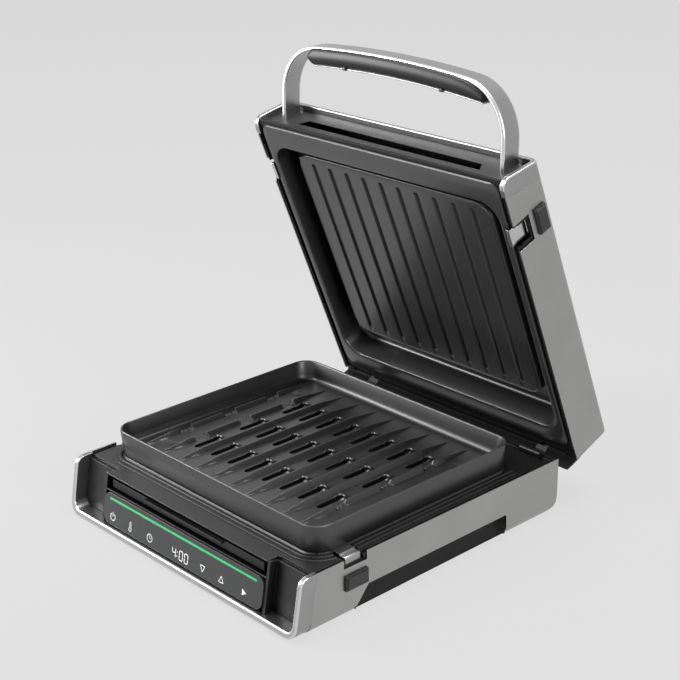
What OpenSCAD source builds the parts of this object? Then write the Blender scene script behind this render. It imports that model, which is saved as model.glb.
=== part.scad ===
// Electric contact grill with a hinged lid, drawn in millimetres.
// X is the width, the front faces -Y, Z is up and z = 0 is the table.
// The pieces are drawn about the middle of the base, the lid shut and then swung open.
// At the end all is moved so that the origin lies under the middle of the open grill.

/* [Body] */
// Width over the metal sides
body_w = 350; // [315:1:385]
// Depth from the front lip to the rear face
body_d = 362; // [340:1:398]
// Height of the metal sides of the base
side_h = 62; // [61.8:0.1:63]
// Backward lean of the front in degrees
lean = 10; // [9:0.5:10.5]
// Thickness of the metal sheet
sheet = 1.5; // [1.2:0.1:1.8]
// Radius of the lower side edges of the base
hem_r = 12; // [9:1:14]
// Radius of the lower rear corner of the sides
tail_r = 20; // [15:1:22]
// Height of the feet below the metal
foot_h = 2; // [1.5:0.5:3]

/* [Front] */
// Depth of the metal front trim
trim_d = 18.5; // [17:0.5:20]
// Thickness of the front trim
trim_t = 5.5; // [4.5:0.5:6]
// Radius of the front corners where the two trims meet
trim_corner_r = 9; // [4:1:12]
// Distance from the body's side to the control panel
panel_side = 52; // [47:1:55]
// Height of the control panel along the front
panel_h = 33; // [30:1:34]
// Distance from the panel's end to the light bar
light_end = 9; // [8:1:33]

/* [Lower plate] */
// Distance from the body's side to the plate's wall
plate_side = 22; // [21.5:0.5:23]
// Distance from the body's front and rear to the plate's wall
plate_end = 48; // [47.5:0.5:49]
// Height of the top edge of the wall
wall_top = 91; // [84:0.5:91]
// Height of the cooking floor
floor_top = 70; // [68:0.5:70]
// Distance from the wall to the middle of the outer rib
rib_edge = 17; // [15:0.5:25]
// Height of a rib
rib_h = 4.5; // [3:0.5:4.5]
// Length of a drain slot
drain_l = 34; // [20:1:38]
// Width of a drain slot
drain_w = 7; // [5:0.5:8]
// Distance between rows of drain slots
drain_pitch = 60; // [56:1:62]

/* [Lid] */
// Height of the lid's metal sides
lid_h = 52.5; // [52:0.5:54]
// Gap between the metal of base and lid when shut
lid_gap = 2; // [1.9:0.1:2.4]
// Angle the lid stands open in degrees
lid_open = 67.8; // [0:0.1:95]
// Hinge axis behind the rear face
hinge_back = 5; // [4.8:0.1:5.4]
// Hinge axis above the table
hinge_z = 33; // [32:0.5:33.5]
// Width of the channel on each side of the pressing surface
channel_side = 19; // [17:0.5:27]
// Width of the channel behind the pressing surface
channel_rear = 29.5; // [29.5:0.5:43]
// Step from the rim down to the pressing surface
press_in = 11; // [11:0.5:14]

/* [Handle] */
// Distance from the body's side to the handle's leg
handle_side = 20; // [17:1:27]
// Height of the handle above the lid front
handle_h = 86; // [72:1:95]
// Width of the handle band
band_w = 23; // [20:1:23]
// Thickness of the handle band
band_t = 5; // [4.5:0.5:6]
// Outward lean of the handle from the lid in degrees
handle_lean = 23; // [20:1:25]

/* [Latches] */
// Length of a release button
button_l = 28; // [26:1:29]
// Height of a release button
button_h = 15; // [12:0.5:15]
// How far a button stands out of the side
button_out = 4; // [3.5:0.5:5]
// Height of the notch in the base side
notch_h = 9; // [8:0.5:9]
// Height of the notch in the lid side
lid_notch_h = 22; // [18:1:22]

/* [Hidden] */
$fn = 48;
gap = 0.3;
running = 0.05;
over = 10;

// Faces of the body
half_w = body_w / 2;
front_y = -body_d / 2;
rear_y = body_d / 2;
inner_half = half_w - sheet - gap;
arm_half = half_w - trim_t - gap;
lid_z = side_h + lid_gap;
lid_top = lid_z + lid_h;
lid_rear = rear_y - 1.5;
lid_corner_r = 8;
lid_bar = 4;
hinge_y = rear_y + hinge_back;
panel_w = body_w - 2 * panel_side;
light_w = panel_w - 2 * light_end;
plate_w = body_w - 2 * plate_side;
plate_d = body_d - 2 * plate_end;
handle_w = body_w - 2 * handle_side;

// Depths v into the leaning front
fascia_v = 15;
block_v = 5.5;
panel_v = 4;
board_v = 20;
board_half = panel_w / 2 - 25;
lid_fascia_v = 7;
fascia_t = 3;

// Heights on the front
lip_top = foot_h + 7;
panel_low = lip_top + 2.2;
light_low = panel_low + panel_h - 6.5;
slot_low = 46;
slot_half = panel_w / 2 + 1;
lid_slot_half = half_w - 45;
lid_slot_z = lid_z + 31;

// The tub and the deck
tub_floor = 3;
tub_wall = 2.5;
tub_low = foot_h + sheet;
tub_r = hem_r - sheet - gap;
flange_top = 61.5;
flange_t = 3;
flange_out = 2;
deck_t = 3.5;
deck_top = flange_top - flange_t;
deck_low = deck_top - deck_t;
deck_rim = 60.2;
deck_rear = rear_y - tub_floor - gap;
foot_x = half_w - 35;
foot_places = [for (x = [-foot_x, foot_x], y = [front_y + 46, rear_y - 36]) [x, y]];
foot_r = 9;
foot_stem_r = 3;
gland_x = 60;
gland_z = 30;
gland_r = 8;
grip_top = 27;
grip_deep = 25;
grip_front = front_y + 77;
grip_rear = rear_y - 78;

// The lower plate and what lies under it
wall_t = 3;
floor_t = 3;
plate_r = 20;
rib_count = 11;
rib_pitch = (plate_w - 2 * wall_t - 2 * rib_edge) / (rib_count - 1);
rib_l = plate_d - 40;
open_half = plate_w / 2 - wall_t - gap;
open_y = plate_d / 2 - wall_t - gap;
tray_w = panel_w - 12;
tray_h = 8.4;
tray_l = body_d - 78;
tray_t = 1.2;
tray_y = front_y + 17;
tray_z = 46.3;
pull_half = tray_w / 2 - 57;
rail_in = tray_w / 2 + gap;
rail_t = 2;
rail_rear = open_y + 4;
tube_r = 3.3;
bend_r = 18;
strap_t = 1.5;
strap_z = 55.8;
strap_ys = [front_y + 85, rear_y - 89];
tube_z = strap_z + strap_t + tube_r;
tube_ys = [front_y + 63, rear_y - 69, rear_y - 57];

// The upper plate and what lies above it
well_w = body_w - 36;
well_front = front_y + 43;
well_rear = rear_y - 35;
well_h = 31;
well_y = (well_front + well_rear) / 2;
well_d = well_rear - well_front;
well_wall = 2.5;
brim_w = body_w - 18;
brim_d = body_d - 31;
brim_y = 2.5;
press_w = well_w - 2 * channel_side;
press_front = well_front + 11;
press_rear = well_rear - channel_rear;
press_d = press_rear - press_front;
press_y = (press_front + press_rear) / 2;
press_z = lid_z + press_in;
groove_count = 10;
groove_pitch = (press_w - 51) / (groove_count - 1);
groove_end = 12;
frame_t = 2.5;
frame_low = lid_z + 3 + gap;
frame_rear = lid_rear - sheet - 0.2;
reflector_z = lid_z + well_h + 5;
post_r = 1.6;
upper_tube_z = press_z + 4.3 + tube_r;
upper_runs = [press_w / 2 - 30, 34];
upper_tube_ys = [press_front + 15, press_rear - 18.5, press_rear - 10.5];
post_ys = [press_front + 47, press_rear - 40.5];

// The hinge
pin_r = 2.5;
eye_r = 4.6;
arm_w = 14;
arm_x = half_w - 48;
lug_t = 5;
bracket_t = 1.2;
bracket_step = 21;
screw_r = 1.5;
screw_head_r = 2.8;

// The latches and their buttons
latch_y = front_y + 76.5;
latch_l = 19;
latch_ear = 12.5;
lever_t = 2.6;
hook_t = 1.4;
latch_pin_r = 2;
notch_l = button_l + 1;
pocket_half = 11.5;
button_z = 38.5;
lower_latch_x = half_w - 12.5;
lower_latch_z = 50;
upper_latch_x = half_w - 7.5;
upper_latch_z = lid_z + 22;
lid_button_z = lid_z + 36;

// The handle's root on the lid front
handle_root_y = front_y + 25;
handle_root_z = lid_z + 33.2;
handle_r = 40;
grip_half = handle_w / 2 - 45;
leg_run = 40;
grip_t = 12;
handle_screw_x = (handle_w - band_t) / 2;
handle_screw_z = (handle_root_y - front_y) * sin(lean) + handle_root_z * cos(lean);

// How far the open grill reaches to the front and the rear of the base's middle
front_reach = front_y + foot_h * tan(lean);
rear_reach = hinge_y + (lid_rear - lid_corner_r - hinge_y) * cos(lid_open)
  + (lid_top - lid_corner_r - hinge_z) * sin(lid_open) + lid_corner_r;

steel = [0.66, 0.66, 0.65];
steel_dark = [0.50, 0.50, 0.49];
chrome = [0.80, 0.80, 0.80];
black = [0.05, 0.05, 0.05];
graphite = [0.13, 0.135, 0.14];
coating = [0.19, 0.19, 0.195];
panel_black = [0.07, 0.075, 0.08];
green = [0.10, 0.62, 0.30];
board_green = [0.05, 0.25, 0.12];
rubber = [0.08, 0.08, 0.08];

// ---- shared shapes -------------------------------------------------------

// A flat rectangle with round corners, centred
module round_rect(w, h, r) {
  square([w - 2 * r, h], center = true);
  square([w, h - 2 * r], center = true);
  for (x = [-1, 1], y = [-1, 1])
    translate([x * (w / 2 - r), y * (h / 2 - r)]) circle(r);
}

// A flat U with two round lower corners, centred on X
module cup_shape(w, low, high, r) {
  translate([-w / 2, low + r]) square([w, high - low - r]);
  translate([-w / 2 + r, low]) square([w - 2 * r, r + 1]);
  for (x = [-1, 1]) translate([x * (w / 2 - r), low + r]) circle(r);
}

// The same U upside down, with its round corners on top
module cap_shape(w, low, high, r) {
  translate([0, low + high]) mirror([0, 1]) cup_shape(w, low, high, r);
}

// Stands an X-Z outline up and runs it from y0 to y1
module along_y(y0, y1) {
  translate([0, y1, 0]) rotate([90, 0, 0]) linear_extrude(y1 - y0) children();
}

// Stands a Y-Z outline up and runs it across X, centred
module across_x(w) {
  translate([-w / 2, 0, 0]) rotate([90, 0, 90]) linear_extrude(w) children();
}

// A round bar along X, centred
module bar_x(r, l) {
  rotate([0, 90, 0]) cylinder(r = r, h = l, center = true);
}

// A box from one corner to the other
module box(a, b) {
  translate(a) cube([b[0] - a[0], b[1] - a[1], b[2] - a[2]]);
}

// The leaning frame of the front: Y is depth into the body, Z runs up the front
module front_frame() {
  translate([0, front_y, 0]) rotate([-lean, 0, 0]) children();
}

// Everything in front of depth v in the leaning frame
module ahead_of(v) {
  front_frame() box([-200, -200, -60], [200, v, 240]);
}

// Moves a piece so that the origin lies under the middle of the open grill
module placed() {
  translate([0, -(front_reach + rear_reach) / 2, 0]) children();
}

// Swings a piece of the lid open on the hinge
module on_lid() {
  translate([0, hinge_y, hinge_z]) rotate([-lid_open, 0, 0])
    translate([0, -hinge_y, -hinge_z]) children();
}

// Mirrors the right-hand piece to the left
module sided(side) {
  if (side < 0) mirror([1, 0, 0]) children();
  else children();
}

// Makes the right-hand piece and its mirror image
module both_sides() {
  for (side = [-1, 1]) sided(side) children();
}

// A quarter bend of tube in a level plane
module bend(x, y, start) {
  translate([x, y, 0]) rotate([0, 0, start])
    rotate_extrude(angle = 90) translate([bend_r, 0]) circle(tube_r);
}

// The M-shaped heating tube, level, with its two ends at the rear.
// ys holds its front, the rear of its inner loop and its ends.
module heating_tube(outer_x, inner_x, ys) {
  y_front = ys[0];
  y_rear = ys[1];
  for (s = [-1, 1]) {
    for (run = [[outer_x, ys[2]], [inner_x, y_rear - bend_r]])
      translate([s * run[0], y_front + bend_r, 0]) rotate([-90, 0, 0])
        cylinder(r = tube_r, h = run[1] - y_front - bend_r);
    translate([s * (inner_x + outer_x) / 2, y_front, 0])
      bar_x(tube_r, outer_x - inner_x - 2 * bend_r);
    bend(s * (outer_x - bend_r), y_front + bend_r, s > 0 ? -90 : 180);
    bend(s * (inner_x + bend_r), y_front + bend_r, s > 0 ? 180 : -90);
    bend(s * (inner_x - bend_r), y_rear - bend_r, s > 0 ? 0 : 90);
  }
  translate([0, y_rear, 0]) bar_x(tube_r, 2 * (inner_x - bend_r));
}

// Y-Z outline of a leaning trim, with a round front corner at height end
module trim_side(low, high, end) {
  r = trim_corner_r;
  up = end > low ? -1 : 1;
  corner_z = end + up * r;
  corner_y = front_y + (r + corner_z * sin(lean)) / cos(lean);
  difference() {
    polygon([for (p = [[0, low], [trim_d, low], [trim_d, high], [0, high]])
             [front_y + p[0] / cos(lean) + p[1] * tan(lean), p[1]]]);
    polygon([[corner_y, corner_z], [corner_y, end - up * 2],
             [front_y + end * tan(lean) - 5, end - up * 2],
             [corner_y - (r + 5) * cos(lean), corner_z + (r + 5) * sin(lean)]]);
  }
  translate([corner_y, corner_z]) circle(r);
}

// ---- base ----------------------------------------------------------------

// Side outline of the base, with the round lower rear corner
module base_side_shape(low, high, rear, r) {
  translate([front_y - over, low]) square([rear - r - front_y + over, r + 1]);
  translate([front_y - over, low + r]) square([rear - front_y + over, high - low - r]);
  translate([rear - r, low + r]) circle(r);
}

// Hollow in the side for the fingers, from the table up
module grip_hollow(grow) {
  across = grip_deep + grow;
  translate([half_w - across / 2 + 2 + grow, 0, 0]) across_x(across + 4)
    polygon([[grip_front - grow, -1], [grip_front + 3 - grow, 12],
             [grip_front + 16 - grow, grip_top + grow], [grip_rear - 1 + grow, grip_top + grow],
             [grip_rear + grow, 12], [grip_rear - 3 + grow, -1]]);
}

// Opening in a metal side for a button standing at height z
module button_opening(z, grow) {
  box([half_w - 4, latch_y - button_l / 2 - grow, z - button_h / 2 - grow],
      [half_w + 1, latch_y + button_l / 2 + grow, z + button_h / 2 + grow]);
}

// Row of air slots in the bottom
module air_slots(low, high) {
  for (x = [-60 : 12 : 60]) box([x - 2, 20, low], [x + 2, 80, high]);
}

// Folded metal bottom and sides of the base
module base_wrap() {
  color(steel) difference() {
    intersection() {
      along_y(front_y, rear_y) difference() {
        cup_shape(body_w, foot_h, side_h, hem_r);
        cup_shape(body_w - 2 * sheet, foot_h + sheet, side_h + 1, hem_r - sheet);
      }
      across_x(body_w + 2) base_side_shape(foot_h, side_h, rear_y, tail_r);
    }
    ahead_of(trim_d + gap);
    both_sides() {
      grip_hollow(gap);
      box([half_w - 4, latch_y - notch_l / 2, side_h - notch_h],
          [half_w + 1, latch_y + notch_l / 2, side_h + 1]);
      button_opening(button_z, gap);
    }
    air_slots(foot_h - 1, foot_h + sheet + 1);
    for (p = foot_places)
      translate([p[0], p[1], foot_h - 1]) cylinder(r = foot_stem_r, h = sheet + 2);
  }
}

// Black moulded inside of the base: floor, rear wall, side walls and latch ears
module base_tub() {
  tub_top = deck_low - 0.5;
  ear_in = lower_latch_x - 5;
  color(black) difference() {
    union() {
      intersection() {
        across_x(2 * inner_half) difference() {
          base_side_shape(tub_low, side_h - 1, rear_y, tail_r - sheet);
          translate([0, tub_floor])
            base_side_shape(tub_low, side_h + 5, rear_y - tub_floor, tail_r - sheet - tub_floor);
        }
        along_y(front_y, rear_y + 1) cup_shape(2 * inner_half, tub_low, side_h, tub_r);
      }
      intersection() {
        along_y(front_y, rear_y - 1) difference() {
          cup_shape(2 * inner_half, tub_low, tub_top, tub_r);
          cup_shape(2 * (inner_half - tub_wall), tub_low + tub_floor, tub_top + 1,
                    tub_r - tub_wall);
        }
        across_x(body_w) base_side_shape(tub_low, side_h, rear_y, tail_r - sheet);
      }
      for (x = [75 - half_w, half_w - 75], y = [-drain_pitch, drain_pitch])
        translate([x, y, tub_low + tub_floor - 1]) cylinder(r = 5, h = 12);
      for (x = [-60, 60])
        box([x - 1, front_y + 91, tub_low + tub_floor - 1],
            [x + 1, rear_y - 51, tub_low + tub_floor + 7]);
      for (e = [-1, 1]) both_sides() translate([0, latch_y + e * latch_ear, 0])
        difference() {
          box([ear_in, -1.2, lower_latch_z - 5], [inner_half - 1, 1.2, lower_latch_z + 3.5]);
          translate([lower_latch_x, -2, lower_latch_z]) rotate([-90, 0, 0])
            cylinder(r = latch_pin_r + running, h = 4);
        }
    }
    ahead_of(trim_d + 3 + gap);
    both_sides() {
      grip_hollow(gap);
      box([inner_half - 6, latch_y - button_l / 2 - 3, button_z - button_h / 2 - 3],
          [half_w, latch_y + button_l / 2 + 3, button_z + button_h / 2 + 3]);
    }
    air_slots(tub_low - 1, tub_low + tub_floor + 1);
    for (p = foot_places)
      translate([p[0], p[1], tub_low - 1]) cylinder(r = foot_stem_r, h = 6);
    translate([gland_x, rear_y - 10, gland_z]) rotate([-90, 0, 0])
      cylinder(r = gland_r + running, h = 20);
    at_bracket_screws() translate([0, 0, -5]) cylinder(r = screw_r + running, h = 6);
  }
}

// Four feet whose stems plug into the bottom
module rubber_feet() {
  color(rubber) for (p = foot_places) translate([p[0], p[1], 0]) {
    cylinder(r = foot_r, h = foot_h);
    cylinder(r = foot_stem_r - running, h = tub_low + 1.5);
  }
}

// Grommet where the mains cord leaves the rear wall
module cord_gland() {
  color(rubber) difference() {
    translate([gland_x, rear_y - 5, gland_z]) rotate([-90, 0, 0]) {
      cylinder(r = gland_r, h = 5);
      translate([0, 0, 5]) cylinder(r = gland_r + 2, h = 3);
      translate([0, 0, 8]) cylinder(r = gland_r - 2, h = 3);
    }
    translate([gland_x, rear_y - 10, gland_z]) rotate([-90, 0, 0])
      cylinder(r = gland_r - 4.4, h = 30);
  }
}

// Cast U-shaped frame of the base front: a lip below and an arm on each side
module front_trim() {
  outer_r = hem_r + 2;
  color(chrome) intersection() {
    along_y(front_y - 1, 0) difference() {
      cup_shape(body_w, foot_h, side_h, outer_r);
      cup_shape(body_w - 2 * trim_t, lip_top, side_h + 1, outer_r - trim_t);
    }
    across_x(body_w + 2) trim_side(foot_h, side_h, side_h);
  }
}

// Dark moulded front wall with the block that carries the panel and the tray slot
module front_fascia() {
  bar = slot_half + 3;
  color(graphite) intersection() {
    front_frame() difference() {
      union() {
        box([-arm_half, fascia_v, 0], [arm_half, fascia_v + fascia_t, side_h]);
        box([-bar, block_v, 0], [bar, fascia_v + fascia_t, side_h]);
        for (x = [8 - board_half, board_half - 8])
          box([x - 4, fascia_v + 2, 14], [x + 4, board_v, 38]);
      }
      box([-slot_half, 0, slot_low], [slot_half, 40, side_h + 5]);
      box([-slot_half, 0, 0], [slot_half, block_v + 4, panel_low + panel_h + gap]);
      box([18 - board_half, block_v + 7, 12], [board_half - 18, 40, 40]);
    }
    along_y(front_y - 5, 0)
      cup_shape(2 * arm_half, lip_top + gap, deck_rim - gap, hem_r + 2 - trim_t);
  }
}

// Touch panel with round ends and a groove for the light bar
module control_panel() {
  depth = block_v + 4 - panel_v;
  color(panel_black) front_frame() difference() {
    translate([0, block_v + 4, panel_low + panel_h / 2]) rotate([90, 0, 0])
      linear_extrude(depth) round_rect(panel_w, panel_h, 9);
    box([-light_w / 2 - 0.1, panel_v - 1, light_low - 0.1],
        [light_w / 2 + 0.1, panel_v + 1.2, light_low + 2.1]);
  }
}

// Thin lit strip along the top of the panel
module light_bar() {
  color(green) front_frame()
    box([-light_w / 2, panel_v - 0.3, light_low], [light_w / 2, panel_v + 1.2, light_low + 2]);
}

// Circuit board behind the panel, with the display and four touch pads
module control_board() {
  board_t = 1.6;
  color(board_green) front_frame() {
    box([-board_half, board_v, 13], [board_half, board_v + board_t, 39]);
    box([-14, board_v + board_t - 0.1, 18], [14, board_v + 5, 32]);
    for (x = [-80, -50, 40, 66]) box([x, board_v + board_t - 0.1, 20], [x + 9, board_v + 4, 29]);
  }
}

// Dark deck around the lower plate, with the rails of the drip tray under it
module base_deck() {
  seat_w = plate_w + 2 * (flange_out + gap);
  seat_d = plate_d + 2 * (flange_out + gap);
  color(graphite) {
    difference() {
      union() {
        box([-inner_half, front_y + 35, deck_low], [inner_half, deck_rear, deck_top]);
        box([-arm_half, front_y + 29, deck_low], [arm_half, front_y + 36, deck_top]);
        box([-slot_half, front_y + 15.5, deck_top + gap], [slot_half, front_y + 40, deck_rim]);
        box([-slot_half - 3, front_y + 29, deck_top - 0.1],
            [slot_half + 3, front_y + 40, deck_rim]);
        difference() {
          box([-arm_half, front_y + 30, deck_top - 1], [arm_half, deck_rear, deck_rim]);
          translate([0, 0, deck_top - 2]) linear_extrude(10)
            round_rect(seat_w, seat_d, plate_r + flange_out);
          box([-inner_half, rear_y - 40, deck_top], [inner_half, deck_rear - 3, deck_rim + 1]);
        }
        both_sides() translate([arm_x + 16, rear_y - 6.5, deck_top - 1]) {
          box([-13, -3, 0], [13, 3, 5]);
          translate([0, 0, 5]) bar_x(3, 26);
        }
      }
      box([-open_half, -open_y, deck_low - 1], [open_half, open_y, deck_top + 5]);
      both_sides() {
        box([lower_latch_x - 3, latch_y - pocket_half, deck_low - 1],
            [half_w, latch_y + pocket_half, side_h]);
        box([plate_w / 2 - 1.5, latch_y - pocket_half, deck_top - 0.1],
            [half_w, latch_y + pocket_half, side_h]);
      }
    }
    both_sides() difference() {
      union() {
        box([rail_in, tray_y + 6, tray_z - 2.2], [rail_in + rail_t, rail_rear, deck_top - 1]);
        box([rail_in - 6, tray_y + 6, tray_z - 2.2], [rail_in + rail_t, rail_rear, tray_z - 0.2]);
      }
      for (y = strap_ys)
        box([rail_in - 1, y - 5 - gap, strap_z], [rail_in + rail_t + 1, y + 5 + gap, deck_top + 1]);
    }
  }
}

// Open sheet tray with a pull lip, sliding out through the front
module drip_tray() {
  color(steel_dark) {
    difference() {
      box([-tray_w / 2, tray_y, tray_z], [tray_w / 2, tray_y + tray_l, tray_z + tray_h]);
      box([-tray_w / 2 + tray_t, tray_y + tray_t, tray_z + tray_t],
          [tray_w / 2 - tray_t, tray_y + tray_l - tray_t, tray_z + tray_h + 1]);
    }
    box([-pull_half, tray_y - 4, tray_z + tray_h - 2], [pull_half, tray_y + 0.5, tray_z + tray_h]);
  }
}

// Heating tube under the lower plate
module lower_element() {
  color(steel_dark) translate([0, 0, tube_z])
    heating_tube(4 * rib_pitch, rib_pitch, tube_ys);
}

// Two cross straps with clips that hold the heating tube
module element_straps() {
  clip_t = 1;
  color(chrome) for (y = strap_ys) {
    box([-open_half + 0.1, y - 5, strap_z], [open_half - 0.1, y + 5, strap_z + strap_t]);
    for (run = [-4, -1, 1, 4], e = [-1, 1])
      translate([run * rib_pitch + e * (tube_r + gap + clip_t / 2), y, strap_z + 1])
        box([-clip_t / 2, -3, 0], [clip_t / 2, 3, 4]);
  }
}

// ---- lower plate ---------------------------------------------------------

// One rib of the lower plate; the outer ribs are broken at the drain rows
module lower_rib(broken) {
  difference() {
    translate([0, 0, floor_top]) along_y(-rib_l / 2, rib_l / 2)
      polygon([[-4, -0.5], [-4, 0], [-2, rib_h], [2, rib_h], [4, 0], [4, -0.5]]);
    if (broken) for (row = [-1, 0, 1])
      box([-5, row * drain_pitch - 6, floor_top], [5, row * drain_pitch + 6, floor_top + 9]);
  }
}

// Cast plate: wall, rim flange, ribbed floor and rows of drain slots with raised ends
module lower_plate() {
  inner_w = plate_w - 2 * wall_t;
  inner_d = plate_d - 2 * wall_t;
  columns = [-3.5 : 1 : 3.5];
  color(coating) difference() {
    union() {
      difference() {
        union() {
          translate([0, 0, deck_top]) linear_extrude(wall_top - deck_top)
            round_rect(plate_w, plate_d, plate_r);
          translate([0, 0, deck_top]) linear_extrude(flange_t)
            round_rect(plate_w + 2 * flange_out, plate_d + 2 * flange_out, plate_r + flange_out);
        }
        translate([0, 0, floor_top]) linear_extrude(wall_top)
          round_rect(inner_w, inner_d, plate_r - wall_t);
        translate([0, 0, deck_top - 1]) linear_extrude(floor_top - floor_t - deck_top + 1)
          round_rect(inner_w, inner_d, plate_r - wall_t);
      }
      for (i = [0 : rib_count - 1])
        translate([(i - (rib_count - 1) / 2) * rib_pitch, 0, 0])
          lower_rib(i < 2 || i > rib_count - 3);
      for (col = columns, row = [-1, 0, 1])
        translate([col * rib_pitch, row * drain_pitch + drain_l / 2 + 1.5, floor_top])
          box([-drain_w / 2, -1.5, -0.5], [drain_w / 2, 1.5, 1.5]);
    }
    for (col = columns, row = [-1, 0, 1])
      translate([col * rib_pitch, row * drain_pitch, floor_top - 5])
        linear_extrude(9) round_rect(drain_w, drain_l, drain_w / 2 - 0.01);
  }
}

// ---- side grips ----------------------------------------------------------

// Black lining of the finger hollow in the right-hand side
module side_grip() {
  back_t = 1.5;
  color(black) difference() {
    intersection() {
      grip_hollow(0);
      box([0, -200, tub_low], [half_w - 0.8, 200, 40]);
    }
    translate([half_w + back_t, 0, 0]) across_x(2 * grip_deep)
      polygon([[grip_front + 2.5, -1], [grip_front + 5.5, 12], [grip_front + 18, grip_top - 2.5],
               [grip_rear - 3, grip_top - 2.5], [grip_rear - 2, 12], [grip_rear - 5, -1]]);
  }
}

// ---- hinge ---------------------------------------------------------------

// Puts a screw, axis out of the rear face, on each side of both hinge brackets
module at_bracket_screws() {
  for (s = [-1, 1], e = [-1, 1])
    translate([s * arm_x + e * bracket_step, rear_y, hinge_z]) rotate([-90, 0, 0]) children();
}

// Steel brackets on the rear wall: a plate with two lugs round each arm
module hinge_brackets() {
  color(black) difference() {
    both_sides() difference() {
      union() {
        box([arm_x - bracket_step - 4, rear_y, hinge_z - 11],
            [arm_x + bracket_step + 4, rear_y + bracket_t, hinge_z + 11]);
        for (e = [-1, 1]) translate([arm_x + e * (arm_w / 2 + gap + lug_t / 2), 0, 0]) {
          box([-lug_t / 2, rear_y, hinge_z - 8], [lug_t / 2, hinge_y, hinge_z + 8]);
          translate([0, hinge_y, hinge_z]) bar_x(8, lug_t);
        }
      }
      translate([arm_x, hinge_y, hinge_z]) bar_x(pin_r + 0.02, 50);
      box([arm_x - arm_w / 2 - gap, rear_y - 1, hinge_z - 9],
          [arm_x + arm_w / 2 + gap, rear_y + bracket_t + 1, hinge_z + 9]);
      box([0, rear_y - 10, 0], [half_w, rear_y, side_h]);
    }
    at_bracket_screws() translate([0, 0, -1]) cylinder(r = screw_r + running, h = 4);
  }
}

// Four screws that hold the brackets to the rear wall
module bracket_screws() {
  color(chrome) at_bracket_screws() {
    translate([0, 0, -4]) cylinder(r = screw_r, h = 5);
    translate([0, 0, bracket_t]) cylinder(r = screw_head_r, h = 1.2);
    cylinder(r = screw_r, h = bracket_t + 0.5);
  }
}

// Two headed pins on which the arms turn
module hinge_pins() {
  color(chrome) both_sides() translate([arm_x, hinge_y, hinge_z]) {
    bar_x(pin_r, 30);
    for (e = [-1, 1]) translate([e * 14, 0, 0]) bar_x(pin_r + 1, 2.4);
  }
}

// Two arms from the hinge pins up to the rear of the lid
module lid_arms() {
  color(black) on_lid() both_sides() difference() {
    translate([arm_x, 0, 0]) across_x(arm_w) difference() {
      union() {
        translate([hinge_y, hinge_z]) circle(eye_r);
        polygon([[hinge_y - 3.6, hinge_z], [hinge_y + 7, hinge_z], [hinge_y + 7, lid_z + 24],
                 [hinge_y + 2, lid_z + 32], [lid_rear, lid_z + 32], [lid_rear, lid_z + 6],
                 [hinge_y - 3.6, lid_z - 4]]);
      }
      translate([rear_y - 6, hinge_z - 10]) square([7.3, 38]);
    }
    translate([arm_x, hinge_y, hinge_z]) bar_x(pin_r + running, 50);
  }
}

// ---- latches and buttons -------------------------------------------------

// A press button in the right-hand side: cap, collar behind the sheet, pushing rib
module release_button(z, lever_x) {
  edge = 1.5;
  color(black) translate([0, latch_y, z]) {
    box([half_w - 2, -button_l / 2, -button_h / 2],
        [half_w + button_out - edge, button_l / 2, button_h / 2]);
    box([half_w - 2, -button_l / 2 + edge, -button_h / 2 + edge],
        [half_w + button_out, button_l / 2 - edge, button_h / 2 - edge]);
    box([half_w - sheet - 1.7, -button_l / 2 - 2, -button_h / 2 - 2],
        [half_w - sheet - 0.2, button_l / 2 + 2, button_h / 2 + 2]);
    box([lever_x + lever_t / 2 + gap, -8, -1.2], [half_w - 2, 8, 1.2]);
  }
}

// A rocking latch: a lever on a pin along Y, hooked at one end, pushed at the other
module latch(x, pin_z, hook_x, hook_low, push_end) {
  outer = x + lever_t / 2;
  color(chrome) {
    box([x - lever_t / 2, latch_y - latch_l / 2, min(hook_low, push_end)],
        [outer, latch_y + latch_l / 2, max(hook_low + hook_t, push_end)]);
    box([hook_x, latch_y - latch_l / 2, hook_low], [outer, latch_y + latch_l / 2, hook_low + hook_t]);
    translate([x, latch_y - latch_ear - 1.5, pin_z]) rotate([-90, 0, 0])
      cylinder(r = latch_pin_r, h = 2 * latch_ear + 3);
  }
}

// Latch in the base, hooked over the flange of the lower plate
module lower_latch() {
  latch(lower_latch_x, lower_latch_z, plate_w / 2 + 0.4, flange_top + 0.2, button_z - 2);
}

// Latch in the lid, hooked under the brim of the upper plate
module upper_latch() {
  latch(upper_latch_x, upper_latch_z, brim_w / 2 - 1.5, lid_z - hook_t - 0.2, lid_button_z + 2);
}

// ---- lid, drawn shut -----------------------------------------------------

// Side outline of the lid, with the round upper rear corner
module lid_side_shape(low, high, rear, r) {
  translate([front_y - over, low]) square([rear - front_y + over, high - low - r]);
  translate([front_y - over, high - r - 1]) square([rear - r - front_y + over, r + 1]);
  translate([rear - r, high - r]) circle(r);
}

// Metal cover of the lid: top, sides and rear
module lid_cover() {
  r = lid_corner_r;
  color(steel) on_lid() difference() {
    intersection() {
      along_y(front_y, lid_rear) cap_shape(body_w, lid_z, lid_top, r);
      across_x(body_w + 2) lid_side_shape(lid_z, lid_top, lid_rear, r);
    }
    intersection() {
      along_y(front_y - 5, lid_rear)
        cap_shape(body_w - 2 * sheet, lid_z - 5, lid_top - sheet, r - sheet);
      across_x(body_w + 2)
        lid_side_shape(lid_z - 5, lid_top - sheet, lid_rear - sheet, r - sheet);
    }
    ahead_of(trim_d + gap);
    box([-half_w + sheet, lid_rear - 3, lid_z - 1], [half_w - sheet, lid_rear + 1, lid_z + 12]);
    both_sides() {
      box([half_w - 4, latch_y - notch_l / 2, lid_z - 1],
          [half_w + 1, latch_y + notch_l / 2, lid_z + lid_notch_h]);
      button_opening(lid_button_z, gap);
    }
  }
}

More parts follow.
